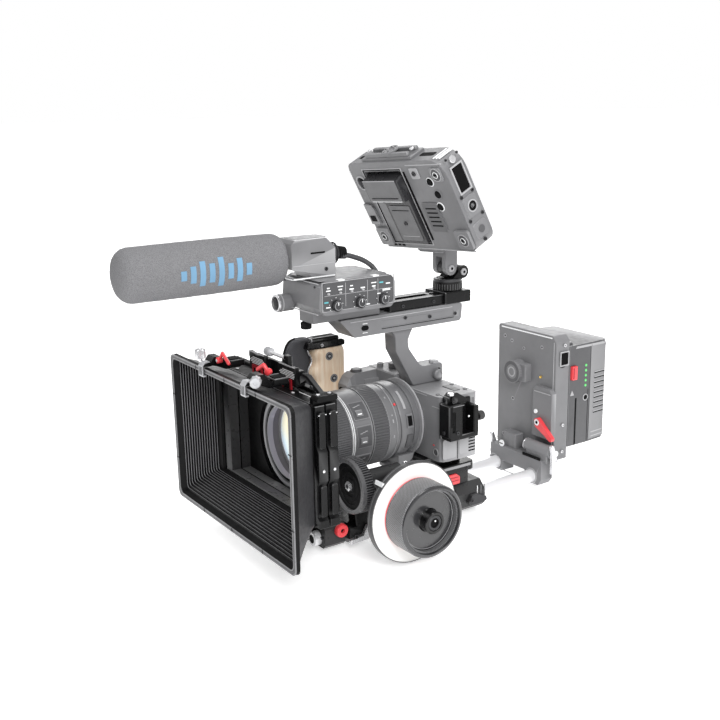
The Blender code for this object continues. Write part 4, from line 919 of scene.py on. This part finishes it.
plate = Piece("camera_plate_trim", "rig")
plate.box(GREY, (49.6, 50.4, 222, 262, 43, 46))
plate.screws("x", 1.5, (50, 226, 41), (50, 258, 41))
plate.screws("z", 3, (-60, 185, 63.6), head=SILVER)
for y in (275, 280, 285):
    plate.box(WHITE if y == 275 else EDGE_GREY, (46.7, 47.2, y - 0.5, y + 0.5, 5, 15))
for y in (205.5, 216.5, 251):
    plate.screws("x", 1.5, (47, y, -8))
    plate.screws((-1, 0, 0), 1.5, (-46, y, -8))
plate.lathe((0, 244, -13.9), (0, 0, -1), [(9.5, -0.6), (9.5, -0.3), (5.2, -0.2), (4.8, -0.4)], STEEL, 32)
for x in (-22, 22):
    plate.lathe((x, 244, -13.8), (0, 0, -1), [(3.4, -0.6), (3.4, 0), (2.6, -0.1)], STEEL, 24)
plate.done(0.12)
latch = Piece("plate_latch_grooves", "latch")
for z in (29, 32.5):
    latch.box(DARK_RED, (49.6, 50.3, 233, 246, z, z + 0.8))
latch.done(0)
lock = Piece("rod_lock_pivot", "rod_lock")
lock.screws("x", 2, (53, 262.5, 2.5))
lock.done(0.1)


# ---------------------------------------------------------------- handle, audio and microphone

handle = Piece("top_handle_trim", "rig")
for x, away in ((15.5, 1), (-15.5, -1)):
    for y, z in ((268, 203), (234, 204), (202, 207)):
        handle.screws((away, 0, 0), 1.9, (x - 0.1 * away, y, z))
    span = sorted((x, x + 0.35 * away))
    handle.box(PALE, (*span, 134, 264, 210.4, 211.1))
    handle.box(RECESS_SHADE_AND_BLACK, (*span, 172, 266, 199, 199.6))
handle.panel("x", (151.5, 203), (9, 5.4), 15.3, 16.4, RECESS_SHADE_AND_BLACK, 2.6, 0.4)
handle.box(WHITE, (15.4, 15.8, 148.5, 154.5, 207.2, 207.8), (15.4, 15.8, 148.5, 154.5, 197.8, 198.4))
for x in (-10, 10):
    handle.box(PALE, (x - 0.4, x + 0.4, 128, 182, 213.8, 214.3))
handle.lathe((4, 248, 149.4), "z", [(4.6, -0.6), (5.2, 0.2, 0.9), (5.2, 2.4, 0.9), (3.6, 3.2)], PALE, teeth=8,
    duty=EVEN)
handle.lathe((9.6, 246.5, 139), "x", [(5.4, 0), (5.8, 0.5, 0.5), (5.8, 5, 0.5), (4.6, 5.8)], GREY, teeth=26)
handle.box(DARK, (-9.8, -9.2, 226, 240, 133, 141))
handle.done(0.12)

top = Piece("monitor_bracket_trim", "rig")
for x in (-13.6, 13):
    top.box(EDGE_GREY, (x, x + 0.6, 186, 260, 224.3, 224.75))
top.box(EDGE_GREY, (-17.6, 17.6, 253.2, 253.9, 226.6, 227.2))
top.screws("z", 2.6, (0, 189, 224.5), (0, 248, 224.5))
top.screws("x", 1.8, (14, 200, 219), (14, 240, 219))
top.done(0.12)

DIALS = (105, 132.5, 160)    # the level dials, along the audio module
audio = Piece("audio_box_trim", "rig")
audio.panel("x", (131.5, 244), (83, 27.5), 34.6, 35.5, PANEL_GREY, 4, 0.3)
audio.frame("x", (131.5, 244), (84, 28.4), 34.7, 35.7, 0.5, PALE)
for y in (116, 141.5, 154):
    audio.box(PALE, (35.3, 35.75, y - 0.2, y + 0.2, 233, 256))
audio.box(PALE, (35.3, 35.75, 92, 171, 245, 245.4))
for material, labels in (
        (WHITE, ((96.5, 250, 5, 1.1), (96.5, 252.6, 3, 1.1), (110, 250, 4, 1.3), (110, 253, 6, 1),
            (123, 249, 5, 1.3), (123, 252.3, 3, 1.1), (136, 249, 5, 1.3), (149, 249, 4, 1.3),
            (149, 252.4, 6, 1))),
        (TEAL, ((158, 251.7, 4.5, 1.4), (94, 239, 4.5, 1.4))),
        (WHITE, ((164, 244, 9, 1.8), (142, 232, 4, 1), (155, 241, 4, 1), (166, 250, 5, 1.2),
            (96, 234, 5, 1.1)))):
    for y, z, wide, tall in labels:
        audio.box(material, (35.3, 35.85, y - wide / 2, y + wide / 2, z - tall / 2, z + tall / 2))
for y in (96.5, 110, 123, 136, 149):
    audio.panel("x", (y, 247), (2.6, 2.2), 35.2, 37.2, PALE, 0.6, 0.3)
for y in (112, 152):
    audio.box(WHITE, (30, 35.6, y - 3.4, y + 3.4, 258, 259.3))
for y in DIALS:
    for index in range(7):
        a = math.radians(-30 + 40 * index)
        cy, cz = y + 7.6 * math.cos(a), 235 + 7.6 * math.sin(a)
        if cz < 244.2:
            audio.box(WHITE, (35.3, 35.75, cy - 0.35, cy + 0.35, cz - 0.35, cz + 0.35))
audio.panel("z", (0, 130), (60, 80), 258.7, 259.25, GREY, 4, 0.2)
audio.box(PALE, (-31, 33, 85.4, 86.2, 227.2, 228.2), (-34.6, 34.6, 85.6, 86.3, 257, 257.8))
audio.ring((-24, 71.6, 232), "y", 7.1, 8.9, 0, 2.2, SILVER, count=48)
audio.ring((-24, 76, 232), "y", 7.6, 9.1, 0, 1.2, PALE, count=48)
for angle in (90, 210, 330):
    a = math.radians(angle)
    audio.lathe((-24 + 3 * math.cos(a), 79, 232 + 3 * math.sin(a)), "y", [(0.8, 0), (0.8, 5), (0.8, 8)], GOLD,
        12)
audio.lathe((-10, 98, 205.4), "z", [(4.6, 0), (5.6, 0.8, 0.6), (5.6, 6.6, 0.6), (3.4, 7.6), (2.2, 8.2),
    (2.2, 21.2)], RUBBER, teeth=22)
audio.box(PALE, (-12.7, 12.7, 120, 171, 216.4, 217.2))
audio.screws(AWAY, 1.3, (-28, 86, 254), (28, 86, 254))
for x in (-20, 0, 20):
    audio.ring((x, 175, 242), "y", 5, 7.4, -0.4, 1, SILVER, count=40)
    audio.lathe((x, 174.8, 242), "y", [(4.9, -0.2), (4.9, 0.4)], RECESS_SHADE_AND_BLACK, 32)
audio.done(0.12)
for number, y in enumerate(DIALS, 1):
    level = Piece(f"level_dial_{number}_knurled", f"level_{number}")
    level.lathe((35.8, y, 235), "x", [(4.8, 0), (5.5, 0.4, 0.35), (5.5, 3.3, 0.35), (4.6, 4.2), (2, 4.2)],
        STEEL, teeth=26)
    level.ring((35.8, y, 235), "x", 3.6, 4.1, 4, 4.4, GREY, count=36)
    level.box(WHITE, (39.6, 40.2, y - 0.35, y + 0.35, 235.5, 239))
    level.done(0, f"level_dial_{number}")

clamp = Piece("mic_clamp_trim", "rig")
clamp.box(RECESS_SHADE_AND_BLACK, (15.8, 16.3, 90, 106, 283.6, 285.2))
clamp.box(PALE, (15.8, 16.3, 70, 117, 273.2, 273.8))
clamp.box(WHITE, (15.7, 16.6, 70, 117, 260.4, 261.6), (-15.6, 15.6, 68.6, 69.3, 260.4, 261.6))
clamp.screws("x", 1.9, (16, 107, 268))
clamp.panel("z", (0, 93.5), (22, 38), 297.7, 298.5, GREY, 4, 0.3)
for y in (115.5, 118.5, 121.5, 124.5):
    clamp.ring((0, y, 280), "y", 9.6, 10.9, 0, 1.4, PALE if y == 115.5 else STEEL, count=48)
for y in (128, 130.4, 132.8, 135.2, 137.6):
    clamp.ring((0, y, 280), "y", 3, 7.2 - (y - 128) * 0.22, 0, 1.4, RUBBER, count=32)
clamp.done(0.12)

foam = Piece("windscreen_foam", "rig")
profile = [(2, 0), (8, 0.35), (14, 1.5), (18.6, 3.4), (21.8, 6.2), (23.8, 9.6), (24.7, 13.5)]
profile += [(24.75 + 0.35 * math.sin(step / 30 * math.pi), 13.5 + 4.6 * step) for step in range(1, 31)]
profile += [(24.6, 154.6), (24, 158.4), (22.4, 161.4), (19.6, 163.2), (15.8, 163.8), (12.4, 163.4)]
foam.lathe((0, -99.8, 280), "y", profile, FOAM, 88)
for vert in foam.mesh.verts:
    around = Vector((vert.co.x, 0, vert.co.z - 280))
    swell = (math.sin(vert.co.y * 1.9 + around.x * 1.3) + math.sin(around.z * 2.3 - vert.co.y * 1.1)) * 0.07
    if around.length > 3:
        vert.co += around.normalized() * swell
foam_piece = foam.done(0, "windscreen", angle=80)
bars = Piece("windscreen_level_bars", "rig")
for index, tall in enumerate((16, 28, 42, 32, 50, 26, 40, 20)):
    y = -48 + index * 9.2
    bars.arc((0, 0, 280), (-4 - tall * 0.62, -4 + tall * 0.62), (y, y + 5.4), (24.6, 25.5), BLUE, steps=8)
bars.done(0)
CABLE_GREY = finish("cable_jacket_grey", (70, 70, 72), 0.42, depth=0.02)
cable = Piece("mic_cable_smooth", "rig")
cable.tube([(0, 139, 276.4), (-0.4, 144, 275.4), (-1, 150, 273.5), (-3, 163, 268.5), (-5, 175, 261),
    (-7, 183, 252), (-7, 184.5, 244), (-7, 181, 239), (-7, 174.5, 238)], 2.6, CABLE_GREY, 18, 8)
cable.tube([(-7, 184, 240.6), (-7, 179.5, 238.2), (-7, 174.6, 238)], 4.2, RUBBER, 20, 6)
cable.done(0, "mic_cable", angle=50)


# ---------------------------------------------------------------- monitor

MONITOR = (Matrix.Translation((0, 245.9, 272.1)) @ Matrix.Rotation(math.radians(4), 4, "Z")
           @ Matrix.Rotation(math.radians(26.7), 4, "X") @ Matrix.Rotation(math.radians(-3.9), 4, "Y"))
cage = Piece("monitor_cage_trim", "monitor", MONITOR)
for x, z in ((-64, 15), (64, 15), (62, 88)):
    cage.panel("y", (x, z), (21, 21) if z == 15 else (16, 15), -3 if z == 15 else -1.2, 0.3, GREY, 3)
    depth = -3 if z == 15 else -1.2
    cage.ring((x, depth + 0.2, z), AWAY, 6.2, 7.2, 0, 0.7, PALE, count=40)
    cage.lathe((x, depth + 0.2, z), AWAY, [(6.1, -0.3), (6.1, 0.4), (4.4, 0.9), (4.2, 0.5)], DARK, 32)
    cage.ring((x, depth, z), AWAY, 2.9, 3.5, 0.6, 1.2, WHITE, count=32)
    cage.box(RECESS_SHADE_AND_BLACK, (x - 3, x + 3, depth - 1.1, depth - 0.6, z - 0.7, z + 0.7))
cage.prism([(-77, 30), (-62, 30), (-62, 50), (-67, 55), (-77, 55)], "y", -2.4, 0.4, GREY)
cage.box(RECESS_SHADE_AND_BLACK, (-74, -65, -2.8, -2.2, 34, 41))
cage.box(PALE, (-76.4, -63, -2.75, -2.2, 53, 53.8))
cage.frame("y", (-22, 51), (66, 91), -0.6, 0.4, 1.1, PALE)
cage.frame("y", (-22, 51), (63.8, 88.8), -0.5, 0.4, 1.2, RECESS_SHADE_AND_BLACK)
cage.box(WHITE, (-46, 4, -9.9, -9.3, 62.4, 63.2))
cage.ring((-64, 0.4, 80), AWAY, 7, 8.8, 0, 1.4, PALE)
for x in (-57, -50, -43):
    cage.box(RECESS_SHADE_AND_BLACK, (x, x + 4.6, -0.35, 0.4, 2.6, 5.4))
cage.box(RECESS_SHADE_AND_BLACK, (11.5, 14.5, -0.3, 0.4, 12, 92))
cage.box(PALE, (10.2, 11, -0.5, 0.4, 10, 94))
for x, z in ((48, 80), (52, 66), (48, 52)):
    cage.lathe((x, 0.2, z), AWAY, [(4.1, -0.4), (4.1, 1.1), (3.5, 1.8)], RECESS_SHADE_AND_BLACK, 28)
    cage.ring((x, 0.2, z), AWAY, 4.2, 5.1, 0, 0.9, WHITE if z != 66 else GREY, count=32)
cage.panel("y", (30, 90), (12, 12), -1.1, 0.3, PALE, 1.5)
cage.screws(AWAY, 2.6, (30, -1, 90))
cage.panel("y", (32, 40), (24, 34), -0.9, 0.3, DARK, 3)
for z in (30, 35, 40, 45, 50):
    cage.box(RECESS_SHADE_AND_BLACK, (24, 40, -1.2, -0.6, z - 0.7, z + 0.7))
cage.box(PALE, (-77, -75.6, -0.35, 0.6, 8, 96), (-70, 72, -0.35, 0.6, 0.2, 1.5), (20, 74, -0.35, 0.6, 98.4, 99.4))
cage.panel("y", (-22, 75), (54, 24), -9.7, -8.6, DARK, 3, 0.5)
cage.box(PALE, (-49, 5, -9.8, -9.2, 86.4, 87.2))
cage.box(RECESS_SHADE_AND_BLACK, (-44, 0, -10.4, -9.9, 66.4, 67))
cage.panel("y", (-13.5, 34), (34, 42), -4.7, -3.6, DARK, 2.5, 0.3)
cage.box(PALE, (-27, 0, -5, -4.5, 18, 18.8))
cage.box(RECESS_SHADE_AND_BLACK, (-27, 0, -5, -4.5, 49, 49.8))
cage.screws(AWAY, 2.4, (-13.5, -4.6, 34))
for low, high in ((-66, -56), (34, 56)):
    cage.panel("z", ((low + high) / 2, 13), (high - low, 7), 103.2, 103.7, RECESS_SHADE_AND_BLACK, 2.5)
cage.lathe((-11, 13, 109.6), "z", [(9.5, -0.6), (9.5, 0.8), (8.6, 1.6), (4.4, 1.6), (4.2, 0.6)], GREY, 40)
for index in range(6):
    a = math.tau * index / 6
    cage.lathe((-11 + 6.5 * math.cos(a), 13 + 6.5 * math.sin(a), 110.4), "z", [(1.1, 0), (1.1, 0.9)], RECESS_SHADE_AND_BLACK, 14)
for x in (62, 66.5, 71):
    cage.box(WHITE, (x, x + 1.5, 3, 23, 103, 103.85))
cage.screws("z", 2.4, (-46, 13, 110), (24, 13, 110), head=SILVER)
cage.frame("x", (14, 76), (17, 30), 76.8, 77.7, 1.6, PALE)
cage.panel("x", (14, 76), (13, 26), 76.6, 77.2, RECESS_SHADE_AND_BLACK, 1.5)
cage.panel("x", (13, 46), (18, 22), 76.6, 78.4, GREY, 3, 0.8)
cage.ring((78.2, 13, 46), "x", 5, 6.4, 0, 0.8, PALE, count=40)
cage.lathe((78.2, 13, 46), "x", [(4.9, -0.4), (4.9, 0.4), (3, 0.8, "hex"), (2.8, 0.2, "hex")], RECESS_SHADE_AND_BLACK, 24)
cage.panel("x", (13, 20), (18, 17), 76.6, 78, GREY, 3, 0.8)
cage.lathe((77.8, 13, 20), "x", [(4, -0.3), (4, 0.8), (3.2, 1.1)], DARK, 28)
cage.lathe((77, 13, 97), "x", [(3.8, -0.4), (3.8, 0.9), (3, 1.3)], SILVER, 28)
cage.screws("x", 1.9, (77, 5, 59), (77, 21, 59), (77, 4, 33), (77, 22, 33), (77, 13, 8))
for z in (24, 28, 32, 36):
    cage.box(RECESS_SHADE_AND_BLACK, (-77.4, -76.8, 6, 20, z, z + 1.4))
cage.panel("x", (13, 66), (18, 30), -77.4, -76.6, DARK, 2.5)
cage.box(PALE, (-25, 13, 4, 22, -6.6, -5.9))
for x in (-77.2, 77):
    cage.screws((math.copysign(1, x), 0, 0), 1.4, (x, 5, 100), (x, 21, 100))
cage.done(0.2)
glass = Piece("monitor_screen_glass", "monitor", MONITOR)
glass.panel("y", (0, 52), (138, 84), 26, 26.9, SCREEN, 3)
glass.frame("y", (0, 52), (142, 88), 25.9, 26.6, 2, DARK)
glass.done(0.15)

swivel = Piece("swivel_trim", "swivel")
swivel.ring((0, 270, 227.3), "z", 13, 16, 0.4, 7.2, BLACK, teeth=34, cut=0.9, duty=EVEN)
swivel.ring((0, 270, 227.3), "z", 12, 15.2, 8.6, 12.2, STEEL)
swivel.done(0)
for name, body, x, y, z in (("lower_knuckle_screws", "swivel", 12, 282, 246),
                            ("upper_knuckle_screws", "monitor", 11, 266, 251)):
    knuckle = Piece(name, body)
    for side in (-1, 1):
        knuckle.lathe((side * (x - 0.2), y, z), (side, 0, 0), [(3.8, -0.4), (3.8, 1.3), (3, 1.9)], PALE, 24)
        knuckle.lathe((side * (x + 1.5), y, z), (side, 0, 0), [(1.7, 0, "hex"), (1.6, 0.5, "hex")], RECESS_SHADE_AND_BLACK, 24)
    knuckle.done(0.1)


# ---------------------------------------------------------------- battery end

rear = Piece("battery_plate_trim", "rig")
FRONT = 389
for x, z, r in ((-26, 148, 1.5), (24, 149, 1.5), (-22.5, 78, 1.7), (-5.6, 142.5, 1.3), (-38, 30, 1.6),
                (-38, 152, 1.6)):
    rear.ring((x, FRONT + 0.1, z), AWAY, r * 0.75, r * 1.5, 0, 0.5, PALE, count=20)
    rear.lathe((x, FRONT + 0.1, z), AWAY, [(r, -0.4), (r, 0.25)], RECESS_SHADE_AND_BLACK, 18)
rear.lathe((23.6, FRONT + 0.2, 114), AWAY, [(1.6, -0.5), (1.6, 1.6), (1, 2.1)], GOLD, 20)
rear.box(WHITE, (-44, 40, 388.4, 389.2, 161.6, 163))
rear.box(PALE, (-48.6, -47.6, 388.4, 389.2, 24, 158), (43, 43.8, 388.4, 389.2, 24, 158))
rear.lathe((-12, 376, 115), AWAY, [(13, -9), (13.6, -7.6, 0.7), (13.6, -0.8, 0.7), (12.4, 0.1), (8.6, 0.2),
    (8.2, -0.6)], DARK, teeth=44)
rear.ring((-12, 376, 115), AWAY, 4.4, 6, -0.6, 0.4, PALE, count=40)
rear.lathe((23, 383, 74), AWAY, [(2.6, -0.4), (2.6, 1), (1.9, 1.5)], WHITE, 20)
rear.box(PALE, (20, 45.5, 382.3, 383.1, 97.6, 98.6))
rear.frame("x", (401, 138.5), (14, 17), 47.7, 48.6, 1.4, PALE)
rear.panel("x", (401, 138.5), (10.5, 13.5), 47.5, 48.2, RECESS_SHADE_AND_BLACK, 1.5)
rear.screws("x", 1.9, (48, 401, 154), (48, 401, 60), (48, 401, 28), head=SILVER)
rear.lathe((-21, 371, 25.6), AWAY, [(4, -0.4), (4, 0.7), (3.2, 1.1)], WHITE, 28)
rear.box(RECESS_SHADE_AND_BLACK, (-24, -18, 369.7, 370.1, 25, 26.2), (15, 44, 370.6, 371.3, 21.5, 25))
rear.box(PALE, (-38, 38, 370.7, 371.3, -7.8, -7))
for x in (-34, 34):
    rear.ring((x if x < 0 else 30, 370.8, 0), "y", 7.7, 9.4, -0.3, 1, PALE, count=40)
rear.ring((14, 379, 33), "x", 5.4, 7.2, -0.4, 0.6, SILVER, count=32)
rear.done(0.12)
lever = Piece("release_lever_hub", "release_lever")
lever.ring((30.5, 377.6, 63.5), AWAY, 2, 3.8, 0, 0.8, SILVER, count=32)
lever.lathe((30.5, 377.6, 63.5), AWAY, [(1.9, -0.4), (1.9, 0.4)], RECESS_SHADE_AND_BLACK, 24)
lever.done(0)
for name, body, x, away in (("rear_lever_cap_near", "clamp_lever_near", 60, 1),
                            ("rear_lever_cap_far", "clamp_lever_far", -46, -1)):
    cap = Piece(name, body)
    cap.lathe((x, 379, 33 if away > 0 else 9), (away, 0, 0), [(3.6, -0.3), (3.6, 0.9), (2.9, 1.4)], WHITE, 24)
    cap.done(0)

pack = Piece("battery_trim", "battery")
for index in range(5):
    pack.lathe((46.4, 437.5, 101 + 6 * index), "x", [(1.6, -0.3), (1.6, 0.5), (1, 0.9)], GREEN, 18)
pack.ring((46.3, 438, 86.5), "x", 3, 4.2, 0, 0.8, PALE, count=28)
pack.lathe((46.3, 438, 86.5), "x", [(2.9, -0.4), (2.9, 0.5)], RECESS_SHADE_AND_BLACK, 24)
pack.box(RECESS_SHADE_AND_BLACK, (46.2, 46.75, 421.4, 423.8, 31.4, 88))
pack.prism([(45.8, 446), (46.75, 445.2), (44.9, 470.8), (43.6, 471.4)], "z", 33.5, 148, LENS_GREY)
for index in range(9):
    z = 64.6 + 6 * index
    pack.prism([(45.9, 453), (46.5, 452), (45.35, 470), (43.6, 471)], "z", z, z + 1.5, RECESS_SHADE_AND_BLACK)
    pack.prism([(45.9, 453), (46.8, 452), (45.5, 470), (43.6, 471)], "z", z + 1.5, z + 2.4, PALE)
pack.prism([(420, 146.6), (468, 146.6), (466, 149.2), (422, 149.2)], "x", 44.2, 46.6, PALE)
pack.box(RECESS_SHADE_AND_BLACK, (46.2, 46.7, 441.8, 442.4, 33, 96))
pack.prism([(413, 92), (419, 92), (416, 98)], "x", 46.2, 47, PALE)
for z in (36, 41):
    pack.prism([(46, 450), (46.7, 449), (44.9, 470.5), (43.6, 471.5)], "z", z, z + 1.2, PALE)
pack.box(PALE, (-40, 40, 414, 419, 153.1, 153.8))
pack.panel("y", (0, 92), (70, 84), 473.7, 474.5, GREY, 5, 0.3)
for z in (70, 80, 90, 100, 110):
    pack.box(RECESS_SHADE_AND_BLACK, (-26, 26, 474.2, 474.9, z - 1, z + 1))
for x in (-40, 40):
    pack.screws("y", 1.8, (x, 474, 38), (x, 474, 144))
pack.done(0.15)
key = Piece("battery_release_groove", "release_key")
key.box(DARK_RED, (49.6, 50.3, 414, 415.6, 112.5, 125.5))
key.done(0)
for x in (-30, 30):
    ends = Piece("rod_ends_far" if x < 0 else "rod_ends_near", "rig")
    ends.ring((x, 72.6, 0), "y", 4.6, 7.3, 0, 1, SILVER, count=40)
    ends.lathe((x, 72.7, 0), "y", [(4.5, 0.1), (4.5, 0.5)], RECESS_SHADE_AND_BLACK, 32)
    ends.ring((x, 395.4, 0), "y", 4.6, 7.3, 0, 1.2, SILVER, count=40)
    ends.lathe((x, 395.6, 0), "y", [(4.5, 0.1), (4.5, 0.6)], RECESS_SHADE_AND_BLACK, 32)
    ends.done(0)
cap = Piece("ff_clamp_lever_pivot", "ff_lever")
cap.screws("x", 2.4, (51.4, 112, 0))
cap.done(0.1)


# ---------------------------------------------------------------- floor, light and camera

FLOOR_GAP, FLOOR = 0.001, 30.0
AMBIENT = 0.56    # the room's strength for everything but the camera, which sees it white
LENS_LENGTH, SENSOR = 50.63, 36
CAMERA_AT = (0.8385, -0.6424, 0.4374)
LIT = (0, 0, 0.15)
floor_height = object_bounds()[0].z - FLOOR_GAP
floor_mesh = bpy.data.meshes.new("floor")
corners = [(x * FLOOR, y * FLOOR, floor_height) for x, y in ((-1, -1), (1, -1), (1, 1), (-1, 1))]
floor_mesh.from_pydata(corners, [], [(0, 1, 2, 3)])
floor = bpy.data.objects.new("floor", floor_mesh)
scene.collection.objects.link(floor)
pale_floor = finish("pale_floor", (250, 250, 250), 0.35, vary=0.01, depth=0, specular=0.3)
floor_shader = pale_floor.node_tree.nodes["Principled BSDF"]
floor_shader.inputs["Emission Color"].default_value = (1, 1, 1, 1)
floor_shader.inputs["Emission Strength"].default_value = 0.5
floor_mesh.materials.append(pale_floor)
floor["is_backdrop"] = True


def light(name, at, size, power):
    data = bpy.data.lights.new(name, "AREA")
    data.energy, data.size = power, size
    obj = bpy.data.objects.new(name, data)
    obj.location = at
    obj.rotation_mode = "QUATERNION"
    obj.rotation_quaternion = (Vector(LIT) - Vector(at)).to_track_quat("-Z", "Y")
    scene.collection.objects.link(obj)


light("key", (1.9, -0.8, 1.5), 1, 40)
light("top", (0.1, 0.2, 2.2), 1.6, 26)
light("rim", (-1.6, 1.4, 1.2), 1.2, 16)

world = bpy.data.worlds.new("white_room")
scene.world = world
world.use_nodes = True
tree = world.node_tree
background = tree.nodes["Background"]
background.inputs["Color"].default_value = (1, 1, 1, 1)
path = tree.nodes.new("ShaderNodeLightPath")
seen = tree.nodes.new("ShaderNodeMapRange")
seen.inputs["To Min"].default_value = AMBIENT
seen.inputs["To Max"].default_value = 1
tree.links.new(path.outputs["Is Camera Ray"], seen.inputs["Value"])
tree.links.new(seen.outputs["Result"], background.inputs["Strength"])
scene.view_settings.view_transform = "Standard"

AZIMUTH, ELEVATION, ROLL = (math.radians(v) for v in (56.145, 14.292, -1.055))
ahead = Vector((-math.sin(AZIMUTH) * math.cos(ELEVATION), math.cos(AZIMUTH) * math.cos(ELEVATION),
                -math.sin(ELEVATION)))
right = Vector((math.cos(AZIMUTH), math.sin(AZIMUTH), 0))
up = right.cross(ahead)
right, up = right * math.cos(ROLL) + up * math.sin(ROLL), up * math.cos(ROLL) - right * math.sin(ROLL)
camera_data = bpy.data.cameras.new("camera")
camera_data.lens, camera_data.sensor_width = LENS_LENGTH, SENSOR
camera_data.clip_start = 0.05
camera = bpy.data.objects.new("camera", camera_data)
scene.collection.objects.link(camera)
facing = Matrix((right, up, -ahead)).transposed().to_4x4()
camera.matrix_world = Matrix.Translation(CAMERA_AT) @ facing
scene.camera = camera

low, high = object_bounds()
